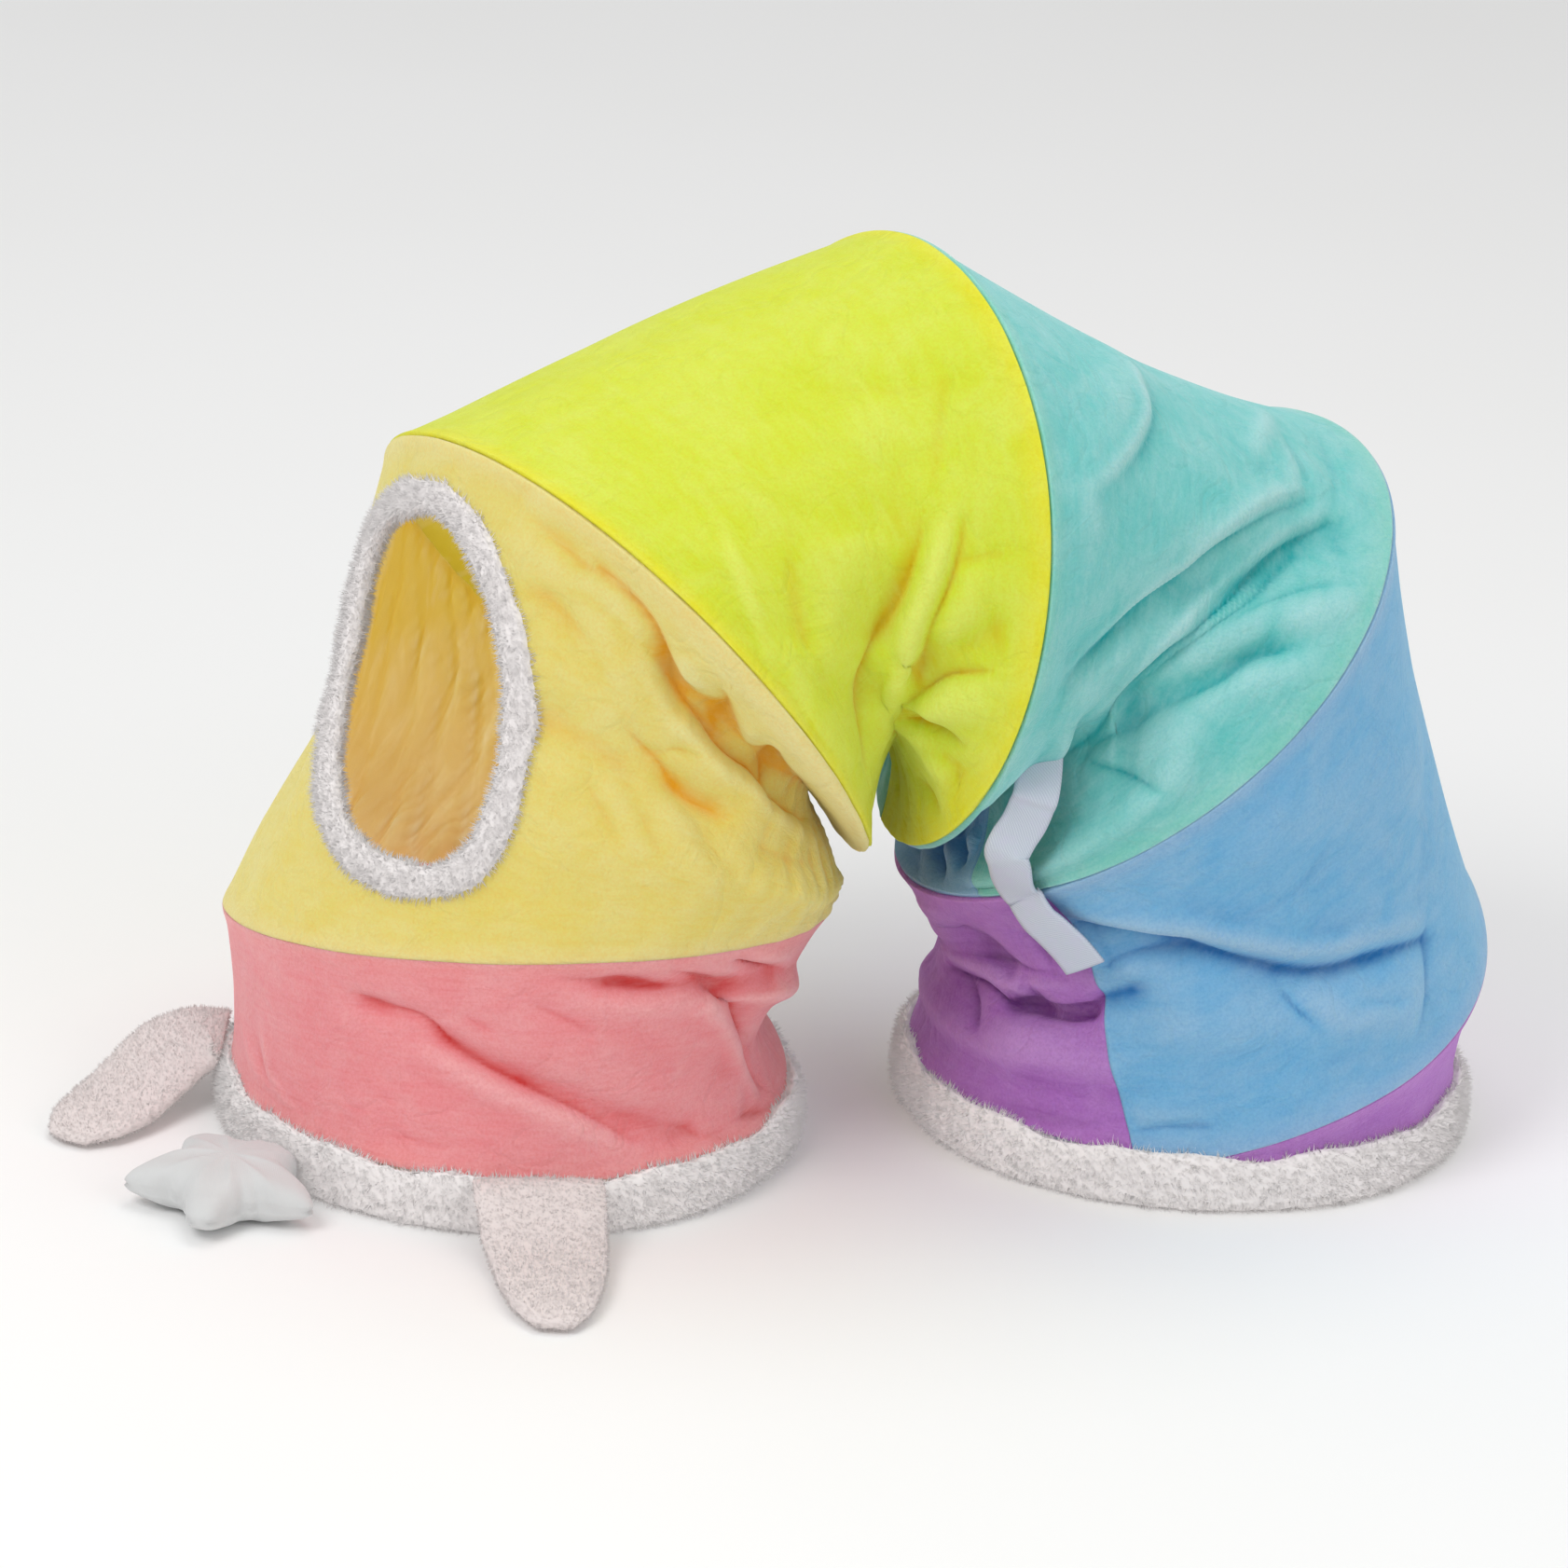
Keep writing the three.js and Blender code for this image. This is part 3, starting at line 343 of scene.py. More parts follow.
def sag(turn, at):
    """How far the cloth lies inside the straight line between its seams."""
    valley_at = valley_value("at", turn)
    u = np.where(at < valley_at, at / valley_at, (1 - at) / (1 - valley_at))
    soft = 0.07
    u = 1 - (np.sqrt((1 - u) ** 2 + soft ** 2) - soft) / (math.sqrt(1 + soft ** 2) - soft)
    valley = valley_value("depth", turn) * u * (1 + valley_value("full", turn) * (1 - u))
    free = np.clip(np.minimum(at, 1 - at) / EDGE_HOLD, 0, 1)
    return valley + (crease_depth(turn, at) + pleat_depth(turn, at)) * free


def wall(turn, at):
    """A point of the cloth's middle surface, before its fine folds."""
    low, low_centre = seam(turn)
    high, high_centre = seam(turn + 1)
    point = low + (high - low) * at[..., None]
    inward = unit(low_centre + (high_centre - low_centre) * at[..., None] - point)
    return point + inward * sag(turn, at)[..., None]


def wall_normal(turn, at):
    step = 0.004
    a = np.maximum(at - 3 * step, 0)
    b = np.minimum(at + 3 * step, 1)
    along = wall(turn + step, at) - wall(turn - step, at)
    return unit(np.cross(along, wall(turn, b) - wall(turn, a)))


def grid_normal(points):
    return unit(np.cross(np.gradient(points, axis=0), np.gradient(points, axis=1)))


# ---- The frame's place ----

def round_angles(steps):
    return 2 * np.pi * np.arange(steps) / steps


def hem_wave(side, angle):
    """How far a hem's rim strays from its circle."""
    return HEM_WAVE * (0.6 * np.cos(3 * angle + side) + 0.4 * np.sin(5 * angle))


def hem_rim(side, steps):
    """Points round the outer rim of a hem."""
    angle = round_angles(steps)
    radius = HEM_RADIUS + HEM_WIDTH / 2 + hem_wave(side, angle)
    return np.stack([side * FEET_X + radius * np.cos(angle),
                     side * FEET_Y + radius * np.sin(angle)], -1)


HEM_BOX = np.array(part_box("hem_purple_end"))
HEM_RIM = hem_rim(1, HEM_STEPS)
SHIFT = np.append((HEM_BOX[0][:2] + HEM_BOX[1][:2]) / 2 - (HEM_RIM.min(0) + HEM_RIM.max(0)) / 2 * MM, 0)


def to_frame(points):
    return np.asarray(points, float) * MM + SHIFT


# ---- Meshes ----

def new_piece(name, points, faces, material):
    """A mesh piece from points in millimetres and an array of faces with equal sides."""
    faces = np.asarray(faces, np.int32)
    mesh = bpy.data.meshes.new(name)
    mesh.vertices.add(len(points))
    mesh.vertices.foreach_set("co", to_frame(points).astype(np.float32).ravel())
    mesh.loops.add(faces.size)
    mesh.loops.foreach_set("vertex_index", faces.ravel())
    mesh.polygons.add(len(faces))
    mesh.polygons.foreach_set("loop_start", np.arange(0, faces.size, faces.shape[1], dtype=np.int32))
    mesh.update(calc_edges=True)
    mesh.validate()
    mesh.polygons.foreach_set("use_smooth", np.full(len(mesh.polygons), True))
    mesh.materials.append(material)
    piece = bpy.data.objects.new(name, mesh)
    bpy.context.collection.objects.link(piece)
    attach(piece, "root")
    return piece


def set_values(piece, name, values):
    """One number a point, for the material to read."""
    layer = piece.data.attributes.new(name, "FLOAT", "POINT")
    layer.data.foreach_set("value", np.asarray(values, np.float32).ravel())


def set_uv(piece, uv):
    """UVs in metres of cloth, one pair a point."""
    layer = piece.data.uv_layers.new(name="cloth")
    index = np.empty(len(piece.data.loops), np.int32)
    piece.data.loops.foreach_get("vertex_index", index)
    layer.data.foreach_set("uv", np.asarray(uv, np.float32)[index].ravel())


# ---- Materials ----

def linear(colour):
    c = np.asarray(colour, float) / 255
    return tuple(np.where(c <= 0.04045, c / 12.92, ((c + 0.055) / 1.055) ** 2.4)) + (1.0,)


class Nodes:
    """A procedural material and short calls for its nodes."""

    def __init__(self, name):
        self.material = bpy.data.materials.new(name)
        self.material.use_nodes = True
        self.tree = self.material.node_tree
        self.shader = self.tree.nodes["Principled BSDF"]

    def add(self, kind, inputs=(), **settings):
        node = self.tree.nodes.new(kind)
        for key, value in settings.items():
            setattr(node, key, value)
        for key, value in dict(inputs).items():
            self.put(node, key, value)
        return node

    def put(self, node, key, value):
        socket = node.inputs[key]
        if isinstance(value, bpy.types.NodeSocket):
            self.tree.links.new(value, socket)
        else:
            socket.default_value = value

    def noise(self, scale, detail=2.0, roughness=0.5, vector=None, distortion=0.0):
        inputs = {"Scale": scale, "Detail": detail, "Roughness": roughness, "Distortion": distortion}
        if vector is None:
            vector = self.add("ShaderNodeTexCoord").outputs["Object"]
        inputs["Vector"] = vector
        return self.add("ShaderNodeTexNoise", inputs).outputs[0]

    def span(self, value, low, high, to_low=0.0, to_high=1.0):
        node = self.add("ShaderNodeMapRange", {
            "Value": value, "From Min": low, "From Max": high, "To Min": to_low, "To Max": to_high})
        return node.outputs[0]

    def mix(self, share, a, b, blend="MIX"):
        node = self.add("ShaderNodeMix", data_type="RGBA", blend_type=blend)
        self.put(node, 0, share)
        self.put(node, 6, a)
        self.put(node, 7, b)
        return node.outputs[2]

    def math(self, kind, a, b):
        return self.add("ShaderNodeMath", {0: a, 1: b}, operation=kind).outputs[0]

    def attribute(self, name):
        return self.add("ShaderNodeAttribute", attribute_name=name).outputs["Fac"]

    def bump(self, height, strength, distance, normal=None):
        inputs = {"Height": height, "Strength": strength, "Distance": distance}
        if normal is not None:
            inputs["Normal"] = normal
        return self.add("ShaderNodeBump", inputs).outputs[0]

    def finish(self, colour, roughness, normal, **fixed):
        self.put(self.shader, "Base Color", colour)
        self.put(self.shader, "Roughness", roughness)
        self.put(self.shader, "Normal", normal)
        for key, value in fixed.items():
            self.shader.inputs[key.replace("_", " ")].default_value = value
        return self.material


# How far light travels inside the thin cloth, seen from outside and from inside.
THROUGH = {
    "Subsurface_Weight": 0.6,
    "Subsurface_Scale": 0.006,
    "Subsurface_Radius": (1.0, 0.9, 0.65),
}
# Strength of the painted glow of the cloth's inner side, standing in for the light that comes through
# the cloth.
PAINTED_INSIDE_GLOW = 0.3
THROUGH_INSIDE = {
    "Subsurface_Weight": 1.0,
    "Subsurface_Scale": 0.02,
    "Subsurface_Radius": (1.0, 0.9, 0.7),
}
# Strength of the painted glow of the white pile, which lifts the shade between its tufts.
PAINTED_PILE_GLOW = 0.22


def plush(name, base, deep, pale, seam_tint):
    """Short pile: painted highlight pales its ridges and painted shade deepens its folds; mottled and
    streaked where the nap lies differently, with small soft creases."""
    n = Nodes(name)
    cloth = n.add("ShaderNodeUVMap", uv_map="cloth").outputs[0]
    along = n.add("ShaderNodeMapping", {"Vector": cloth, "Scale": (0.35, 1.0, 1.0)}).outputs[0]
    fold = n.attribute("fold")
    # Painted shade: the colour deepens where the fold attribute puts the cloth in a hollow; painted
    # highlight: it pales where the cloth stands on a ridge.
    colour = n.mix(n.span(fold, 0.05, 1.1), linear(base), linear(deep))
    colour = n.mix(n.span(fold, 0.0, -1.0, 0.0, 0.7), colour, linear(pale))
    colour = n.mix(n.span(n.attribute("edge"), 0.0, 1.0, 0.0, 0.6), colour, linear(seam_tint))
    patch = n.noise(34, 4.0, 0.62, distortion=0.5)
    colour = n.mix(n.span(patch, 0.42, 0.7, 0.0, 0.34), colour, linear(pale))
    streak = n.noise(150, 4.0, 0.65, vector=along, distortion=0.3)
    colour = n.mix(n.span(streak, 0.42, 0.72, 0.0, 0.22), colour, linear(pale))
    colour = n.mix(n.span(streak, 0.48, 0.25, 0.0, 0.1), colour, linear(deep))
    fine = n.noise(800, 3.0, 0.6)
    colour = n.mix(n.span(fine, 0.3, 0.6, 0.2, 0.0), colour, linear(deep))
    crumple = n.math("ABSOLUTE", n.math("SUBTRACT", n.noise(46, 3.0, 0.5, distortion=1.0), 0.5), 0.0)
    normal = n.bump(n.span(crumple, 0.0, 0.12), 0.35, 0.0016)
    normal = n.bump(streak, 0.25, 0.0012, normal)
    normal = n.bump(n.noise(1300, 3.0, 0.7), 0.5, 0.0007, normal)
    return n.finish(colour, 0.85, normal, Sheen_Weight=0.65, Sheen_Roughness=0.45,
                    Sheen_Tint=linear(pale), Specular_IOR_Level=0.2, **THROUGH)


def lining_side(name, base, deep, high):
    """The cloth's smooth inner side, crinkled and a little glossy, turning to its arch colour higher
    up, with painted highlight streaks and a painted glow standing in for the light that comes through
    it."""
    n = Nodes(name)
    wide = n.noise(9, 3.0, 0.5, distortion=0.8)
    colour = n.mix(n.span(wide, 0.4, 0.75), linear(base), linear(deep))
    place = n.add("ShaderNodeTexCoord").outputs["Object"]
    level = n.add("ShaderNodeSeparateXYZ", {"Vector": place}).outputs["Z"]
    # Higher in the arch the colour turns to the arch colour, which the painted glow takes on too.
    colour = n.mix(n.span(level, 0.06, 0.19, 0.0, 0.9), colour, linear(high))
    cloth = n.add("ShaderNodeUVMap", uv_map="cloth").outputs[0]
    across = n.add("ShaderNodeMapping", {"Vector": cloth, "Scale": (1.0, 0.2, 1.0)}).outputs[0]
    streak = n.noise(60, 3.0, 0.6, vector=across, distortion=0.6)
    # Painted highlight: pale streaks across the cloth.
    colour = n.mix(n.span(streak, 0.5, 0.75, 0.0, 0.3), colour, linear((232, 212, 172)))
    creases = n.math("ABSOLUTE", n.math("SUBTRACT", n.noise(9, 2.0, 0.4, distortion=1.2), 0.5), 0.0)
    weave = n.noise(1500, 1.0)
    normal = n.bump(n.span(creases, 0.0, 0.03), 0.22, 0.0016)
    normal = n.bump(streak, 0.1, 0.002, normal)
    normal = n.bump(weave, 0.15, 0.0003, normal)
    # Painted glow: the inner side emits its own colour, standing in for the light that comes through
    # the cloth.
    n.put(n.shader, "Emission Color", colour)
    return n.finish(colour, 0.38, normal, Specular_IOR_Level=0.5, Sheen_Weight=0.1,
                    Emission_Strength=PAINTED_INSIDE_GLOW, **THROUGH_INSIDE)


def fluff(name, base, root):
    """Long pile, with painted shade darkening the root of its tufts and a painted glow lifting its
    shade.
    """
    n = Nodes(name)
    root_shade_tone = n.attribute("root_shade_tone")
    # Painted shade: the colour darkens towards each tuft's root.
    colour = n.mix(n.span(root_shade_tone, 0.0, 1.0), linear(root), linear(base))
    patch = n.noise(60, 3.0)
    colour = n.mix(n.span(patch, 0.35, 0.75, 0.0, 0.3), colour, linear(root))
    normal = n.bump(n.noise(700, 3.0, 0.6), 0.12, 0.0006)
    # Painted glow: the pile emits its own colour, lifting its shade.
    n.put(n.shader, "Emission Color", colour)
    return n.finish(colour, 0.9, normal, Sheen_Weight=0.3, Sheen_Roughness=0.4,
                    Specular_IOR_Level=0.15, Emission_Strength=PAINTED_PILE_GLOW)


def knit(name, base, deep):
    """Smooth close-knit cloth with a fine rib."""
    n = Nodes(name)
    place = n.add("ShaderNodeTexCoord").outputs["Object"]
    wide = n.noise(70, 2.0)
    colour = n.mix(n.span(wide, 0.35, 0.75, 0.0, 0.5), linear(base), linear(deep))
    rib = n.add("ShaderNodeTexWave", {"Vector": place, "Scale": 420.0, "Distortion": 1.5})
    normal = n.bump(rib.outputs[1], 0.12, 0.0003)
    normal = n.bump(n.noise(1400, 2.0), 0.2, 0.0003, normal)
    return n.finish(colour, 0.75, normal, Sheen_Weight=0.25, Specular_IOR_Level=0.3)


def webbing(name, base, deep, stripe):
    """Woven tape: diagonal yarns along its length and soft patches of a third colour."""
    n = Nodes(name)
    uv = n.add("ShaderNodeUVMap", uv_map="cloth").outputs[0]
    warp = n.add("ShaderNodeTexWave", {"Vector": uv, "Scale": 420.0, "Distortion": 0.3},
                 bands_direction="DIAGONAL")
    weft = n.add("ShaderNodeTexWave", {"Vector": uv, "Scale": 520.0, "Distortion": 0.2},
                 bands_direction="Y")
    height = n.math("ADD", warp.outputs[1], weft.outputs[1])
    # Painted shade: the colour darkens where the weave's height is low, between the yarns.
    colour = n.mix(n.span(height, 0.4, 1.6), linear(deep), linear(base))
    colour = n.mix(n.span(n.noise(160, 2.0), 0.45, 0.7, 0.0, 0.5), colour, linear(stripe))
    normal = n.bump(height, 0.25, 0.0003)
    return n.finish(colour, 0.6, normal, Sheen_Weight=0.1, Specular_IOR_Level=0.35)


# ---- Strips of cloth ----

TIP_WIDTH = 1.5
EDGE_MM = np.array([0, 0.6, 1.2, 2.2, 3.6, 5.6, 8.5])
END_MM = np.array([0, 0.6, 1.2, 2.2, 3.6])
FRONT_ROW_MM = 2.1
BACK_ROW_MM = 4.2
EDGE_GAP = -0.5
CREASE_ROUND = 1.1
SEAM_TINT_MM = 8
WEDGE_CROWD = 0.5
# Pitch and depth of the gathers and of the waves that all the cloth has
GATHERS = ((24, 2.6), (13, 1.6))
SOFT_WAVES = ((70, 0.7), (33, 0.35))
# Height and half width of what stands out or in along side seams and end seams
SEAM_RIDGE, SEAM_GROOVE = (0.9, 5.5), (0.15, 1.1)
END_RIDGE, END_GROOVE = (0.3, 4), (0.25, 0.9)


def box_blur(values, reach):
    """Mean over a square of reach cells each way, edges repeated."""
    for axis in (0, 1):
        pad = [(0, 0)] * values.ndim
        pad[axis] = (reach + 1, reach)
        total = np.cumsum(np.pad(values, pad, mode="edge"), axis=axis)
        count = values.shape[axis]
        low = np.take(total, range(0, count), axis=axis)
        high = np.take(total, range(2 * reach + 1, count + 2 * reach + 1), axis=axis)
        values = (high - low) / (2 * reach + 1)
    return values


def curve(p, steps):
    """A smooth line through all rows of p but the first and the last two, which steer it."""
    u = (np.arange(steps) / steps)[:, None]
    return np.vstack([0.5 * (2 * b + (c - a) * u + (2 * a - 5 * b + 4 * c - d) * u ** 2
                             + (3 * b - a - 3 * c + d) * u ** 3)
                      for a, b, c, d in zip(p[:-3], p[1:-2], p[2:-1], p[3:])])


def through(places, steps=8):
    """A smooth line from the first place to the last."""
    p = np.array(places, float)
    p = np.vstack([2 * p[0] - p[1], p, 2 * p[-1] - p[-2]])
    return np.vstack([curve(p, steps), p[-2]])


def fold_depth(points, folds):
    """How deep the folds are at each point, from each one's line over the cloth."""
    depth = np.zeros(points.shape[:2])
    for deep, half, lip, *places in folds:
        line = through(np.reshape(places, (-1, 2)))
        path = wall(line[:, 0], line[:, 1])
        lengths = np.append(0, np.cumsum(np.linalg.norm(np.diff(path, axis=0), axis=1)))
        near = np.full(points.shape[:2], 1e9)
        along = np.zeros(points.shape[:2])
        side = np.zeros(points.shape[:2])
        normals = wall_normal(line[:, 0], line[:, 1])
        for k in range(len(path) - 1):
            step = path[k + 1] - path[k]
            length = max(np.linalg.norm(step), 1e-6)
            rel = points - path[k]
            u = np.clip((rel @ step) / length ** 2, 0, 1)
            off = rel - u[..., None] * step
            gap = np.linalg.norm(off, axis=-1)
            closer = gap < near
            near = np.where(closer, gap, near)
            along = np.where(closer, lengths[k] + u * length, along)
            hand = np.cross(step / length, normals[k])
            side = np.where(closer, off @ hand, side)
        share = along / lengths[-1]
        taper = np.sin(np.pi * np.clip(0.06 + 0.88 * share, 0, 1)) ** 0.7
        if deep < 0:
            depth += taper * deep * np.exp(-(near / half) ** 2)
            continue
        lip_side = side * (1 if lip >= 0 else -1)
        reach = half * (1.0 if not lip else np.where(lip_side > 0, 0.6, 1.5))
        depth += taper * deep * np.exp(-(np.sqrt(near ** 2 + CREASE_ROUND ** 2) - CREASE_ROUND) / reach)
        past = np.maximum(near - np.abs(side), 0)
        roll = np.exp(-((lip_side - 1.9 * half) / (1.2 * half)) ** 2 - (past / half) ** 2)
        depth -= taper * abs(lip) * roll
    return depth


def gather_depth(turn, at, crowd, waves, seed):
    """Fine uneven wrinkles where the bend crowds the cloth, most of them at the back."""
    rng = np.random.default_rng(seed)
    depth = np.zeros_like(turn)
    x = turn * WIRE_TURN
    y = at * STRIP_WIDTH
    for pitch, share in waves:
        for _ in range(3):
            tip = rng.uniform(-0.22, 0.22)
            bend = rng.uniform(20, 45)
            phase = rng.uniform(0, 2 * np.pi)
            drift = 2 * np.sin(y / bend + phase) + 3 * np.sin(x / (1.7 * bend) + 2 * phase)
            wave = np.cos(2 * np.pi * (x * math.cos(tip) + y * math.sin(tip) + drift) / pitch + phase)
            depth += share / 3 * wave
    return depth * crowd


def strip_grid(start, stop, columns):
    """The places on the cloth that a strip's grid takes, row by row, and their distance in
    millimetres from the strip's side seams and from its ends."""
    is_first = start < FIRST_TURN
    is_last = stop >= LAST_TURN
    probe = np.linspace(start, stop, 400)
    wide = np.linalg.norm(seam(probe + 1)[0] - seam(probe)[0], axis=-1)
    if is_first:
        start = probe[np.argmax(wide > TIP_WIDTH)]
    if is_last:
        stop = probe[len(probe) - 1 - np.argmax(wide[::-1] > TIP_WIDTH)]
    length = (stop - start) * WIRE_TURN
    fine = np.linspace(END_MM[-1], length - END_MM[-1], 4000)
    part = (start + fine / WIRE_TURN) % 1
    step = np.where((part < 0.56) | (part > 0.96), FRONT_ROW_MM, BACK_ROW_MM)
    passed = np.append(0, np.cumsum(np.diff(fine) / step[1:]))
    middle = np.interp(np.linspace(0, passed[-1], int(passed[-1]) + 1), passed, fine)
    ends = np.concatenate([END_MM[:-1], middle, length - END_MM[-2::-1]])
    rows = start + ends / WIRE_TURN
    low = seam(rows)[0]
    high = seam(rows + 1)[0]
    width = np.linalg.norm(high - low, axis=-1)
    edge = EDGE_MM[None, :] * np.minimum(1, width / 110)[:, None] / width[:, None]
    u = np.linspace(0, 1, columns)[None, :]
    inner = edge[:, -1:] + (1 - 2 * edge[:, -1:]) * u
    at = np.concatenate([edge[:, :-1], inner, 1 - edge[:, -2::-1]], axis=1)
    share = ((rows - start) / (stop - start))[:, None]
    lean = SEAM_SKEW * (0.5 - at)
    turn = rows[:, None] + (0 if is_first else lean * (1 - share)) + (0 if is_last else lean * share)
    side_mm = np.minimum(at, 1 - at) * width[:, None]
    end_mm = np.minimum(ends, length - ends)[:, None] + 0 * at
    return turn, at, side_mm, end_mm, (is_first, is_last)


def edge_keep(turn, across, normal):
    """How far along the strip its edge keeps back from the seam's own plane."""
    point, centre = seam(turn)
    wire = seam(turn + 0.002)[0] - seam(turn - 0.002)[0]
    square = unit(np.cross(wire, centre - point))
    keep = EDGE_GAP + SHEET / 2 * np.abs((normal * square).sum(-1))
    return np.minimum(keep / np.maximum(np.abs((across * square).sum(-1)), TIP_WIDTH), 0.3)


def hump(distance, height, half):
    return height * np.exp(-(distance / half) ** 2)


def strip_surface(start, stop, columns, folds, crowd_gain, seed):
    """A strip's middle surface with its folds, its normals and how far its seams stand out."""
    turn, at, side_mm, end_mm, wedge_ends = strip_grid(start, stop, columns)
    low, low_centre = seam(turn)
    high, high_centre = seam(turn + 1)
    across = high - low
    rough = wall(turn, at)
    normal = grid_normal(rough)
    first = edge_keep(turn[:, 0], across[:, 0], normal[:, 0])[:, None]
    last = edge_keep(turn[:, -1] + 1, across[:, -1], normal[:, -1])[:, None]
    place = first + at * (1 - first - last)
    points = low + across * place[..., None]
    inward = unit(low_centre + (high_centre - low_centre) * at[..., None] - points)
    points = points + inward * sag(turn, at)[..., None]
    normal = grid_normal(points)
    width = np.linalg.norm(across, axis=-1)
    crowd = np.clip(1 - width / STRIP_WIDTH, 0, 1) if not any(wedge_ends) else WEDGE_CROWD + 0 * width
    part = turn - np.floor(turn)
    behind = np.exp(-((part - 0.7) / 0.2) ** 2)
    amount = crowd_gain * crowd * behind
    fine = gather_depth(turn, at, amount, GATHERS, seed)
    soft = gather_depth(turn, at, 0.6 + 0 * turn, SOFT_WAVES, seed + 50)
    depth = fold_depth(points, folds) + (fine + soft)
    depth = depth * np.clip(side_mm / 9, 0, 1) ** 0.8 * np.clip(end_mm / 8, 0, 1)
    points = points - normal * depth[..., None]
    ridge = hump(side_mm, *SEAM_RIDGE) - hump(side_mm, *SEAM_GROOVE)
    for is_wedge in wedge_ends:
        if not is_wedge:
            ridge = ridge + hump(end_mm, *END_RIDGE) - hump(end_mm, *END_GROOVE)
    normal = grid_normal(points)
    return turn, at, points, normal, ridge, side_mm


def closed_sheet(outer, inner, keep):
    """Quads of a closed body from two equal grids of points, where keep says which cells stay."""
    rows, cols = keep.shape
    index = np.arange((rows + 1) * (cols + 1)).reshape(rows + 1, cols + 1)
    under = index.size
    a, b = index[:-1, :-1], index[1:, :-1]
    c, d = index[1:, 1:], index[:-1, 1:]
    quads = np.stack([a, b, c, d], -1)[keep]
    faces = [quads, quads[:, ::-1] + under]
    edges = np.concatenate([quads[:, [k, (k + 1) % 4]] for k in range(4)])
    key = np.sort(edges, axis=1)
    code = key[:, 0].astype(np.int64) * under + key[:, 1]
    _, inverse, counts = np.unique(code, return_inverse=True, return_counts=True)
    rim = edges[counts[inverse] == 1]
    faces.append(np.stack([rim[:, 1], rim[:, 0], rim[:, 0] + under, rim[:, 1] + under], -1))
    faces = np.concatenate(faces)
    used = np.unique(faces)
    fresh = np.zeros(2 * under, np.int64)
    fresh[used] = np.arange(len(used))
    points = np.concatenate([outer.reshape(-1, 3), inner.reshape(-1, 3)])[used]
    return points, fresh[faces], used, len(quads)


def opening_reach(angle):
    """The opening's outline, as a share of its ellipse."""
    return 1 + sum(swell * np.maximum(np.cos(angle - corner), 0) ** CORNER_TIGHT
                   for corner, swell in OPENING_CORNERS)


def in_opening(turn, at):
    rise = at - OPENING_AT
    x = (turn - OPENING_TURN - OPENING_SLANT * rise) / OPENING_HALF_TURN
    y = rise / OPENING_HALF_AT
    return np.hypot(x, y) < opening_reach(np.arctan2(y, x))


def build_strip(name, node, start, stop, columns, colours, inside, crowd_gain, seed):
    turn, at, points, normal, ridge, side_mm = strip_surface(
        start, stop, columns, FOLDS[name], crowd_gain, seed)
    outer = points + normal * (SHEET / 2 + ridge)[..., None]
    inner = points - normal * (SHEET / 2)
    keep = np.ones((turn.shape[0] - 1, turn.shape[1] - 1), bool)
    if name == "pale":
        hole = in_opening((turn[1:, 1:] + turn[:-1, :-1]) / 2, (at[1:, 1:] + at[:-1, :-1]) / 2)
        keep &= ~hole
    body, faces, used, tops = closed_sheet(outer, inner, keep)
    piece = new_piece(name + "_strip", body, faces, plush(name + "_plush", *colours))
    piece.data.materials.append(lining_side(name + "_inside", *inside))
    which = np.zeros(len(piece.data.polygons), np.int32)
    which[tops:2 * tops] = 1
    piece.data.polygons.foreach_set("material_index", which)
    # Painted shade and highlight: how far each point lies below its blurred neighbours, stored as the
    # fold attribute; the material deepens the colour in hollows and pales it on ridges.
    fold_shade_and_highlight = 0.6 * ((box_blur(points, 2) - points) * normal).sum(-1)
    fold_shade_and_highlight += 0.14 * ((box_blur(points, 8) - points) * normal).sum(-1)
    fold_shade_and_highlight = np.clip(fold_shade_and_highlight, -1, 1.4)
    set_values(piece, "fold", np.concatenate([fold_shade_and_highlight.ravel(), -fold_shade_and_highlight.ravel()])[used])
    edge = hump(side_mm, 1, SEAM_TINT_MM).ravel()
    set_values(piece, "edge", np.concatenate([edge, edge])[used])
    uv = np.stack([turn * WIRE_TURN, at * STRIP_WIDTH], -1).reshape(-1, 2) * MM
    set_uv(piece, np.concatenate([uv, uv])[used])
    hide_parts(node)
    return piece


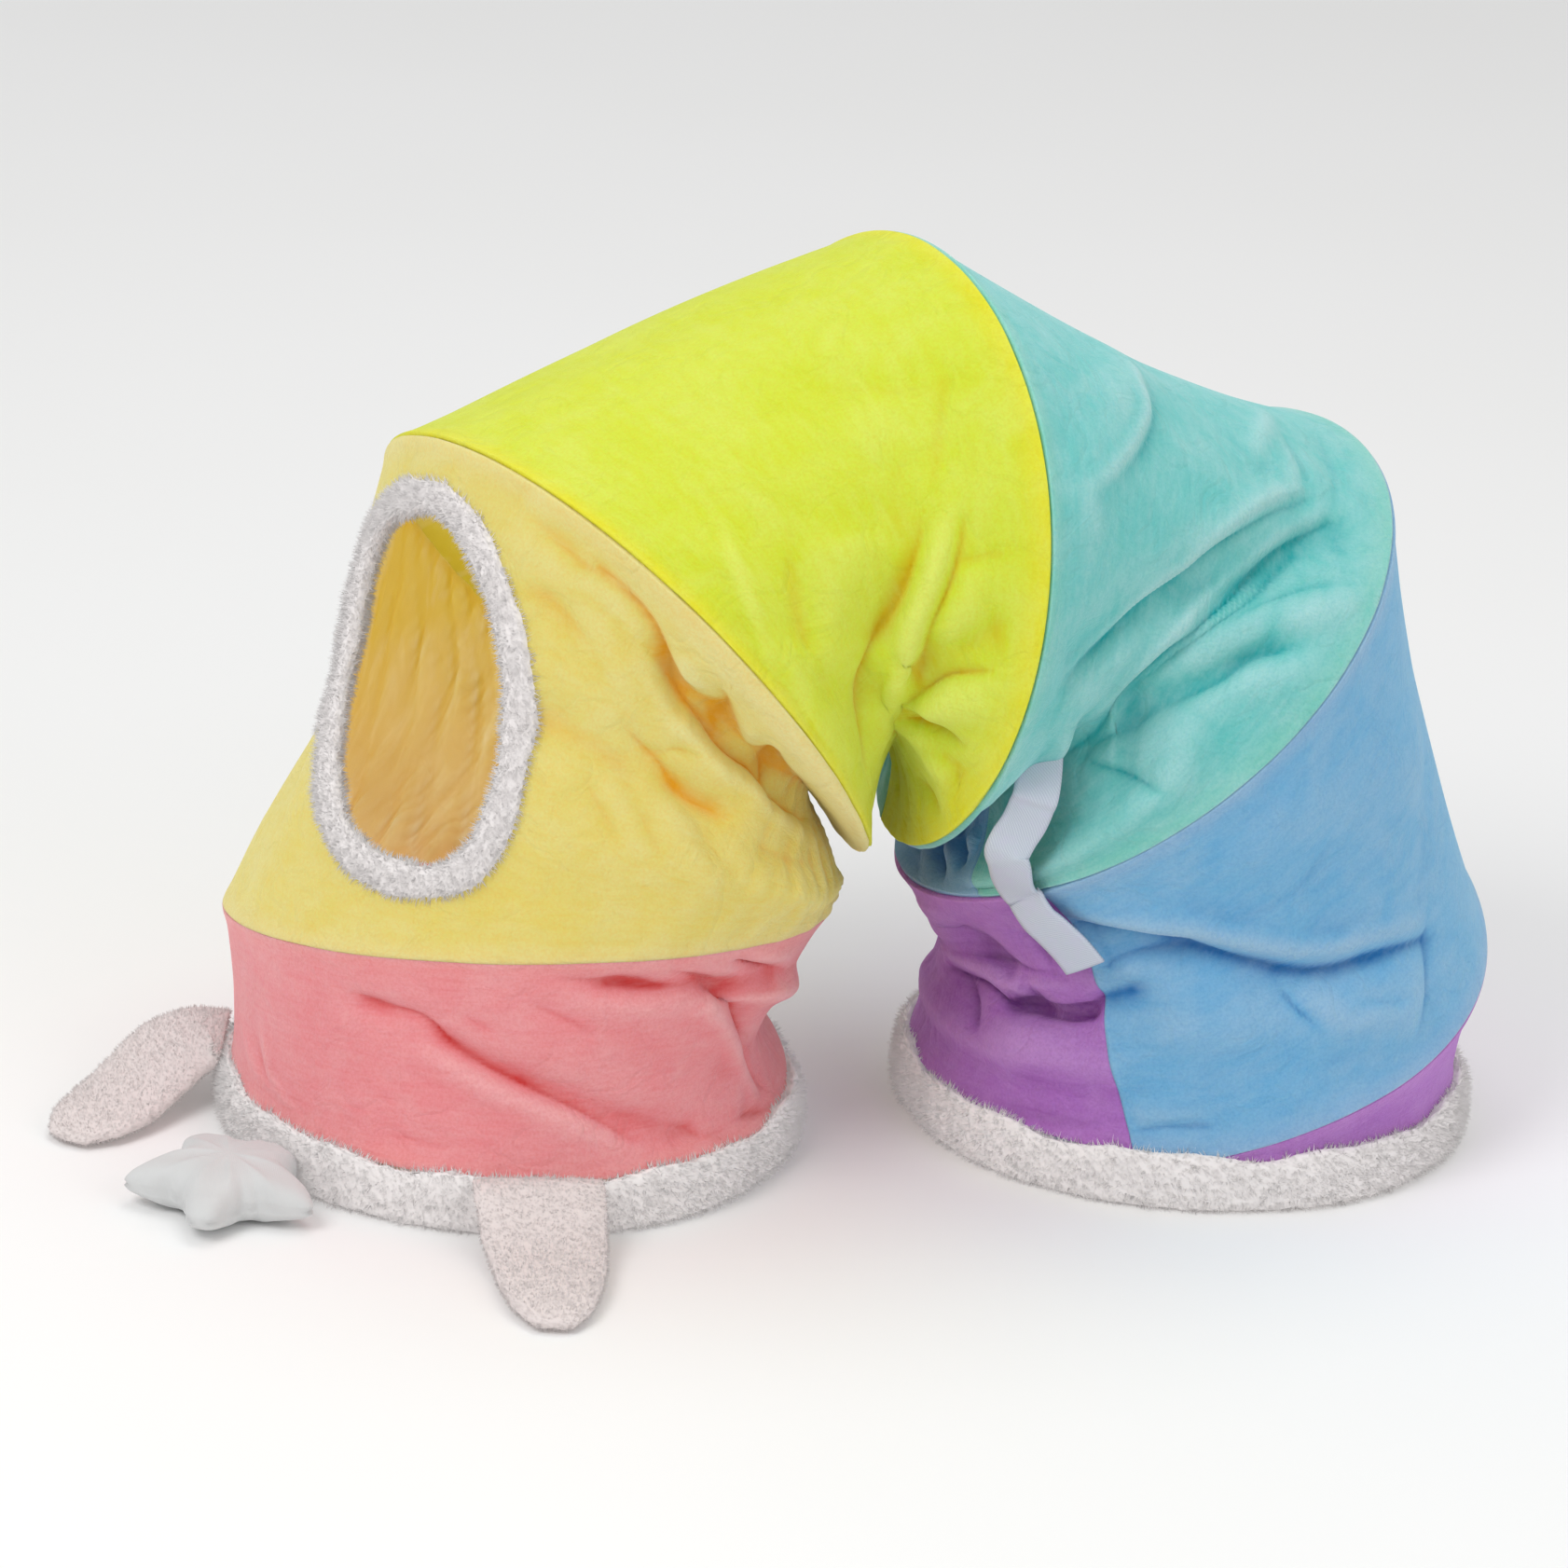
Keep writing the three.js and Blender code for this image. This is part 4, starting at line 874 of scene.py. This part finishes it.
# Where each colour starts and ends, how many columns its grid has, its colours on the level, as
# painted shade in folds, as painted highlight on ridges, and along seams, its inner side's colours on
# the level, in patches and high in the arch, which also colour its painted glow, and how strongly its
# gathers stand.
STRIPS = (
    ("pink", "panel_pink", FIRST_TURN - 1, -0.4, 56,
     ((234, 146, 151), (208, 66, 64), (238, 182, 184), (238, 158, 156)),
     ((228, 150, 150), (196, 112, 108), (228, 150, 150)), 0.9),
    ("pale", "panel_pale_yellow", -0.4, 0.58, 84,
     ((224, 209, 112), (232, 166, 30), (230, 224, 162), (230, 213, 150)),
     ((208, 176, 122), (184, 146, 86), (200, 162, 34)), 4.4),
    ("lemon", "panel_lemon", 0.58, 1.53, 84,
     ((206, 221, 58), (212, 178, 0), (220, 233, 120), (232, 216, 36)),
     ((180, 164, 36), (134, 116, 20), (180, 164, 36)), 2.9),
    ("aqua", "panel_aqua", 1.53, 2.41, 84,
     ((110, 194, 190), (12, 166, 168), (180, 216, 216), (136, 202, 182)),
     ((100, 178, 170), (50, 130, 124), (100, 178, 170)), 2.2),
    ("blue", "panel_blue", 2.41, 3.31, 84,
     ((116, 178, 216), (44, 120, 184), (164, 194, 216), (152, 180, 212)),
     ((96, 150, 190), (50, 100, 150), (96, 150, 190)), 2.2),
    ("purple", "panel_purple", 3.31, LAST_TURN, 56,
     ((172, 112, 192), (112, 54, 130), (196, 152, 210), (184, 122, 196)),
     ((150, 106, 166), (100, 60, 112), (150, 106, 166)), 0.9),
)
FLAT_WIDTH = 0.218
OPENING_AREA = 0.0145
WEDGE_FLAT = 1.1
WEDGE_LEAST = 0.31


def area_of(piece):
    mesh = piece.data
    values = np.empty(len(mesh.polygons), np.float32)
    mesh.polygons.foreach_get("area", values)
    return float(values.sum())


STRIP_PIECES = {row[0]: build_strip(*row, 11 + seed) for seed, row in enumerate(STRIPS)}


# ---- Hems, band, ears and their pile, star and strap ----

def ring_faces(count, ring):
    """Quads between sections of a closed ring."""
    i, j = np.meshgrid(np.arange(count), np.arange(ring), indexing="ij")
    here, after = i * ring, ((i + 1) % count) * ring
    k = (j + 1) % ring
    return np.stack([here + j, here + k, after + k, after + j], -1).reshape(-1, 4)


TUFT_THICK = (0.2, 0.38)
TUFT_LONG = (0.65, 1.1)
TUFT_FLOOR = 0.3
TUFT_DROOP = (0, 0, -0.15)
TUFT_OWN_SHADE = 0.16
CLUMPS = np.array([(0.93, 0.51, 1.2), (0.6, 1.05, -0.8)])


def pile(name, points, faces, count, length, material, seed, spread=0.6):
    """Tufts of pile standing on a body: each is a small three-sided cone that leans."""
    rng = np.random.default_rng(seed)
    tri = np.concatenate([faces[:, [0, 1, 2]], faces[:, [0, 2, 3]]]) if faces.shape[1] == 4 else faces
    a, b, c = points[tri[:, 0]], points[tri[:, 1]], points[tri[:, 2]]
    cross = np.cross(b - a, c - a)
    area = np.linalg.norm(cross, axis=1)
    pick = np.searchsorted(np.cumsum(area) / area.sum(), rng.random(count))
    u, v = rng.random(count), rng.random(count)
    u, v = np.where(u + v > 1, 1 - u, u), np.where(u + v > 1, 1 - v, v)
    root = a[pick] + u[:, None] * (b - a)[pick] + v[:, None] * (c - a)[pick]
    out = unit(cross[pick])
    clump = np.stack([np.sin(root @ CLUMPS[0] + k) * np.cos(root @ CLUMPS[1] + 2 * k)
                      for k in range(3)], -1)
    way = unit(out + 0.2 * clump + rng.normal(0, spread / 2, (count, 3)))
    long = length * rng.uniform(*TUFT_LONG, count) * (0.9 + 0.12 * clump[:, 0])
    bend = unit(way + rng.normal(0, spread, (count, 3)) * 0.6 + TUFT_DROOP)
    middle = root + way * (0.55 * long)[:, None]
    tip = middle + bend * (0.5 * long)[:, None]
    side = unit(np.cross(way, rng.normal(0, 1, (count, 3))))
    third = np.cross(way, side)
    thick = rng.uniform(*TUFT_THICK, count)[:, None]
    ring = []
    for k in range(3):
        angle = 2 * math.pi * k / 3
        ring.append(root - 0.6 * way + thick * (math.cos(angle) * side + math.sin(angle) * third))
    verts = np.stack([*ring, tip], 1)
    verts[..., 2] = np.maximum(verts[..., 2], TUFT_FLOOR)
    base = 4 * np.arange(count)[:, None]
    tris = (base[:, None, :] + np.array([(0, 1, 3), (1, 2, 3), (2, 0, 3)])[None]).reshape(-1, 3)
    piece = new_piece(name, verts.reshape(-1, 3), tris, material)
    round_tuft = verts - verts.mean(1, keepdims=True)
    shading = unit(out[:, None] + TUFT_OWN_SHADE * unit(round_tuft))
    piece.data.normals_split_custom_set_from_vertices(shading.reshape(-1, 3).tolist())
    # Painted shade: the three root points of each tuft take a low tone, so the material darkens them;
    # each tuft's tone also varies a little at random.
    root_shade_tone = np.tile(np.array([0.35, 0.35, 0.35, 1.0]), (count, 1)) * rng.uniform(0.8, 1.0, (count, 1))
    set_values(piece, "root_shade_tone", root_shade_tone)
    return piece


# White pile colours: the first on the tufts' tips, the second painted as shade at their roots.
WHITE = fluff("white_plush_long", (226, 222, 221), (221, 216, 215))
SOFT = fluff("white_plush_short", (211, 202, 200), (207, 197, 195))


def roughened(points, amount, seed):
    """Points moved a little at random, as the top of a pile is uneven."""
    moved = points + np.random.default_rng(seed).normal(0, amount, points.shape)
    moved[:, 2] = np.maximum(moved[:, 2], 0.4)
    return moved


def smooth_profile(rows, steps):
    """A closed smooth curve through the corners of a section."""
    p = np.array(rows, float)
    return curve(np.vstack([p[-1], p, p[:2]]), steps)


PILE_INSET = 2.2


def build_hem(side, node, seed):
    """The plush roll round one end: a soft body and its tufts."""
    steps = 220
    half = HEM_WIDTH / 2 - PILE_INSET
    high = HEM_HEIGHT - SEAM_GAP / 2 - PILE_INSET
    # Corners of the roll's section, from its outer foot over the crest to its inner foot
    rows = [(half * 0.66, 0.6), (half * 0.97, high * 0.22), (half, high * 0.5),
            (half * 0.94, high * 0.88), (half * 0.66, high + 4.2), (half * 0.2, high + 3.2),
            (-half * 0.75, high * 0.85), (-half, high * 0.45), (-half * 0.92, high * 0.15),
            (-half * 0.6, 0.6)]
    section = smooth_profile(rows, 4)
    angle = round_angles(steps)
    wave = hem_wave(side, angle)
    lump = 1 + 0.05 * np.sin(9 * angle + seed) + 0.04 * np.sin(17 * angle + 2 * seed)
    r = HEM_RADIUS + section[None, :, 0] * lump[:, None] + wave[:, None] * 0.8
    z = np.maximum(section[None, :, 1] * lump[:, None], 0.4) + 0 * r
    points = np.stack([side * FEET_X + r * np.cos(angle)[:, None],
                       side * FEET_Y + r * np.sin(angle)[:, None], z], -1).reshape(-1, 3)
    points = roughened(points, 0.35, seed + 70)
    faces = ring_faces(steps, len(section))[:, ::-1]
    body = new_piece(node + "_roll", points, faces, WHITE)
    # The roll's colour lies halfway between the tufts' painted root shade and their tips.
    set_values(body, "root_shade_tone", np.full(len(points), 0.5))
    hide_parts(node)
    tufts = pile(node + "_pile", points, faces, 34000, 4.6, WHITE, seed)
    return body


build_hem(-1, "hem_pink_end", 3)
build_hem(1, "hem_purple_end", 4)


def build_trim():
    """The fluffy band round the side opening."""
    steps = 150
    angle = round_angles(steps)
    reach = opening_reach(angle)
    rise = reach * OPENING_HALF_AT * np.sin(angle)
    turn = OPENING_TURN + reach * OPENING_HALF_TURN * np.cos(angle) + OPENING_SLANT * rise
    at = OPENING_AT + rise
    centre = wall(turn, at)
    normal = wall_normal(turn, at)
    tangent = unit(np.roll(centre, -1, 0) - np.roll(centre, 1, 0))
    aside = unit(np.cross(tangent, normal))
    k = round_angles(20)
    half, thick = TRIM_WIDTH / 2 - 1.6, TRIM_THICK / 2 - 0.6
    w = half * np.sign(np.cos(k)) * np.abs(np.cos(k)) ** 0.8
    h = thick * np.sign(np.sin(k)) * np.abs(np.sin(k)) ** 0.8
    lump = 1 + 0.06 * np.sin(7 * angle) + 0.05 * np.sin(13 * angle + 1)
    points = (centre[:, None] + aside[:, None] * (w[None, :, None] * lump[:, None, None])
              + normal[:, None] * (h[None, :, None] * lump[:, None, None]))
    points = points.reshape(-1, 3)
    faces = ring_faces(steps, len(k))
    middle = points.reshape(steps, -1, 3).mean(1)
    tri = points[faces[0]]
    out = np.cross(tri[1] - tri[0], tri[2] - tri[0])
    if out @ (tri[0] - middle[0]) < 0:
        faces = faces[:, ::-1]
    points = roughened(points, 0.35, 71)
    body = new_piece("opening_trim_band", points, faces, WHITE)
    # The band's colour lies halfway between the tufts' painted root shade and their tips.
    set_values(body, "root_shade_tone", np.full(len(points), 0.5))
    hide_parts("opening_trim")
    tufts = pile("opening_trim_pile", points, faces, 22000, 4.4, WHITE, 21)


build_trim()


def build_ear(name, rows, seed):
    """A padded flap along its rows of x, y, z, width and thickness."""
    rows = np.array(rows, float)
    steps = np.linspace(0, len(rows) - 1, 30)
    line = np.stack([np.interp(steps, np.arange(len(rows)), rows[:, k]) for k in range(5)], -1)
    for _ in range(2):
        line[1:-1] = 0.25 * line[:-2] + 0.5 * line[1:-1] + 0.25 * line[2:]
    centre = line[:, :3]
    ahead = unit(np.gradient(centre, axis=0))
    aside = unit(np.cross(ahead, (0, 0, 1)))
    top = unit(np.cross(aside, ahead))
    k = round_angles(28)
    w = 0.5 * np.sign(np.cos(k)) * np.abs(np.cos(k)) ** 0.75
    h = np.where(np.sin(k) > 0, 0.5, 0.45) * np.sign(np.sin(k)) * np.abs(np.sin(k)) ** 0.8
    width = np.maximum(line[:, 3] - 3, 4)[:, None, None]
    thick = np.maximum(line[:, 4] - 2.5, 2)[:, None, None]
    points = (centre[:, None] + aside[:, None] * w[None, :, None] * width
              + top[:, None] * h[None, :, None] * thick)
    points[..., 2] = np.maximum(points[..., 2], 0.5)
    ring = len(k)
    tip = points[-1].mean(0) + ahead[-1] * 2
    root = points[0].mean(0)
    body = points.reshape(-1, 3)
    quads = []
    for i in range(len(centre) - 1):
        for j in range(ring):
            m = (j + 1) % ring
            quads.append((i * ring + j, i * ring + m, (i + 1) * ring + m))
            quads.append((i * ring + j, (i + 1) * ring + m, (i + 1) * ring + j))
    n = len(body)
    last = (len(centre) - 1) * ring
    for j in range(ring):
        m = (j + 1) % ring
        quads.append((last + j, last + m, n))
        quads.append((m, j, n + 1))
    body = np.vstack([body, tip, root])
    faces = np.array(quads)
    tri = body[faces[ring]]
    if np.cross(tri[1] - tri[0], tri[2] - tri[0]) @ (tri[0] - centre[0]) < 0:
        faces = faces[:, ::-1]
    body = roughened(body, 0.22, seed + 72)
    piece = new_piece(name + "_flap", body, faces, SOFT)
    # The flap's colour lies halfway between the tufts' painted root shade and their tips.
    set_values(piece, "root_shade_tone", np.full(len(body), 0.5))
    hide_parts(name)
    tufts = pile(name + "_pile", body, faces, 10000, 1.9, SOFT, seed, spread=0.35)


for seed, (name, rows) in enumerate(EARS.items()):
    build_ear(name, rows, 31 + seed)


def build_star():
    """A stuffed five-pointed star, domed above and below its edge seam."""
    around, rings = 120, 14
    angle = round_angles(around)
    point = np.cos(5 * angle)
    tip = STAR_REACH * (0.74 + 0.26 * point * (0.75 + 0.25 * point))
    sections = []
    lift = STAR_THICK * 0.4
    for i in range(1, 2 * rings):
        t = i / rings
        share = np.sin(np.pi / 2 * min(t, 2 - t)) ** 0.62
        height = np.cos(np.pi / 2 * t)
        dome = np.where(height > 0, STAR_THICK - lift, lift) * np.sign(height) * np.abs(height) ** 0.9
        dome = dome * (1 - 0.3 * share * np.maximum(point, 0))
        crimp = 0.7 * np.sin(23 * angle) * share ** 6 * (abs(height) > 0.05)
        r = tip * share + crimp
        r = r - 1.0 * (abs(height) < 0.06)
        sections.append(np.stack([r * np.cos(angle + math.radians(STAR_TURN)),
                                  r * np.sin(angle + math.radians(STAR_TURN)),
                                  lift + dome], -1))
    points = np.stack(sections)
    points += (STAR_X, STAR_Y, 0)
    flat = points.reshape(-1, 3)
    flat[:, 2] = np.maximum(flat[:, 2], 0.2)
    away = flat[:, :2] - (-FEET_X, -FEET_Y)
    gap = np.linalg.norm(away, axis=1, keepdims=True)
    need = HEM_RADIUS + HEM_WIDTH / 2 + 2.2
    flat[:, :2] += away / gap * np.maximum(need - gap, 0)
    n = len(flat)
    top = points[0].mean(0) * (1, 1, 0) + (0, 0, STAR_THICK)
    under = points[0].mean(0) * (1, 1, 0)
    tris = []
    for i in range(len(points) - 1):
        for j in range(around):
            m = (j + 1) % around
            a, b = i * around, (i + 1) * around
            tris += [(a + j, b + j, b + m), (a + j, b + m, a + m)]
    last = (len(points) - 1) * around
    for j in range(around):
        m = (j + 1) % around
        tris += [(n, j, m), (n + 1, last + m, last + j)]
    body = np.vstack([flat, top, under])
    piece = new_piece("star_pad", body, tris, knit("star_knit", (208, 209, 209), (198, 198, 198)))
    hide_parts("star")


build_star()


def build_strap():
    """The tape, bowed across its width, from under the aqua strip's fold to its free end."""
    rows = through(np.vstack([STRAP_ROOT, STRAP]), 10)
    turn = np.where(rows[:, 1] > 1, rows[:, 0] + 1, rows[:, 0])
    at = np.where(rows[:, 1] > 1, rows[:, 1] - 1, rows[:, 1])
    low, low_centre = seam(turn)
    high, high_centre = seam(turn + 1)
    base = low + (high - low) * at[:, None]
    out = unit(base - (low_centre + (high_centre - low_centre) * at[:, None]))
    centre = base + out * rows[:, 2:3]
    ahead = unit(np.gradient(centre, axis=0))
    aside = unit(np.cross(ahead, out))
    face = unit(np.cross(aside, ahead))
    w = np.linspace(-0.5, 0.5, 11)
    crown = 0.5 * (1 - (2 * w) ** 2)
    run = np.append(0, np.cumsum(np.linalg.norm(np.diff(centre, axis=0), axis=1)))
    middle = (centre[:, None] + aside[:, None] * (w * STRAP_WIDTH)[None, :, None]
              + face[:, None] * crown[None, :, None])
    outer = middle + face[:, None] * STRAP_THICK / 2
    inner = middle - face[:, None] * STRAP_THICK / 2
    keep = np.ones((len(centre) - 1, len(w) - 1), bool)
    body, faces, used, _ = closed_sheet(outer, inner, keep)
    piece = new_piece("strap_webbing", body, faces[:, ::-1],
                      webbing("strap_weave", (206, 214, 224), (180, 188, 204), (198, 198, 220)))
    uv = np.stack(np.broadcast_arrays(run[:, None], (w * STRAP_WIDTH)[None]), -1).reshape(-1, 2) * MM
    set_uv(piece, np.concatenate([uv, uv])[used])
    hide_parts("strap")


build_strap()

# What the pale, pink and purple strips were cut to before they were sewn and gathered; nothing here
# uses it.
for name, node, start, stop, *_ in STRIPS:
    length = (stop - start) * WIRE_TURN * MM
    piece = STRIP_PIECES[name]
    area = None
    if name == "pale":
        area = length * FLAT_WIDTH - OPENING_AREA
    if name in ("pink", "purple"):
        area = min(max(area_of(piece) / 2 * WEDGE_FLAT, WEDGE_LEAST * length * FLAT_WIDTH),
                   length * FLAT_WIDTH)

# ---- Floor, light and camera ----

floor_mesh = bpy.data.meshes.new("floor")
floor_mesh.from_pydata([(-6, -6, 0), (6, -6, 0), (6, 8, 0), (-6, 8, 0)], [], [(0, 1, 2, 3)])
floor = bpy.data.objects.new("floor", floor_mesh)
bpy.context.collection.objects.link(floor)
floor_nodes = Nodes("pale_floor")
floor_tint = floor_nodes.mix(floor_nodes.noise(3, 2.0), linear((246, 246, 246)),
                             linear((243, 243, 242)))
floor_normal = floor_nodes.bump(floor_nodes.noise(40), 0.02, 0.001)
floor.data.materials.append(floor_nodes.finish(floor_tint, 0.9, floor_normal, Specular_IOR_Level=0.1))

world = bpy.data.worlds.new("studio")
bpy.context.scene.world = world
world.use_nodes = True
world.node_tree.nodes["Background"].inputs[0].default_value = (1, 1, 1, 1)
world.node_tree.nodes["Background"].inputs[1].default_value = 0.6


def placed(axes, place):
    """The matrix of something with its own axes as columns, at a place."""
    return Matrix([[*row, p] for row, p in zip(axes, place)] + [[0, 0, 0, 1]])


def soft_light(name, place, aim, size, power):
    data = bpy.data.lights.new(name, "AREA")
    data.shape = "DISK"
    data.size = size
    data.energy = power
    light = bpy.data.objects.new(name, data)
    bpy.context.collection.objects.link(light)
    way = unit(np.array(place, float) - np.array(aim, float))
    side = unit(np.cross((0, 0, 1), way))
    up = np.cross(way, side)
    light.matrix_world = placed(np.stack([side, up, way], 1), place)


AIM = (0, 0, 0.2)
soft_light("key_light", (-1.3, -1.5, 2.1), AIM, 1.5, 27)
soft_light("fill_light", (1.8, -1.6, 1.3), AIM, 1.8, 10)
soft_light("top_light", (0.2, 0.4, 2.4), AIM, 1.8, 13)

IMAGE = 1682
VIEW_DOWN = math.radians(21.55)
VIEW_ROLL = math.radians(4.0)
VIEW_DISTANCE = 3400
VIEW_FOCUS = 8423
VIEW_TARGET = np.array((-36.6, 0, 149.5))
ahead = np.array((0, math.cos(VIEW_DOWN), -math.sin(VIEW_DOWN)))
right = np.array((1, 0, 0))
up = np.array((0, math.sin(VIEW_DOWN), math.cos(VIEW_DOWN)))
roll_right = math.cos(VIEW_ROLL) * right + math.sin(VIEW_ROLL) * up
roll_up = -math.sin(VIEW_ROLL) * right + math.cos(VIEW_ROLL) * up
camera_data = bpy.data.cameras.new("camera")
camera_data.sensor_fit = "HORIZONTAL"
camera_data.sensor_width = 36
camera_data.lens = 36 * VIEW_FOCUS / IMAGE
camera_data.clip_end = 50
camera = bpy.data.objects.new("camera", camera_data)
bpy.context.collection.objects.link(camera)
place = to_frame(VIEW_TARGET - VIEW_DISTANCE * ahead)
axes = np.stack([roll_right, roll_up, -ahead], 1)
camera.matrix_world = placed(axes, place)
bpy.context.scene.camera = camera
bpy.context.scene.view_settings.view_transform = "Standard"
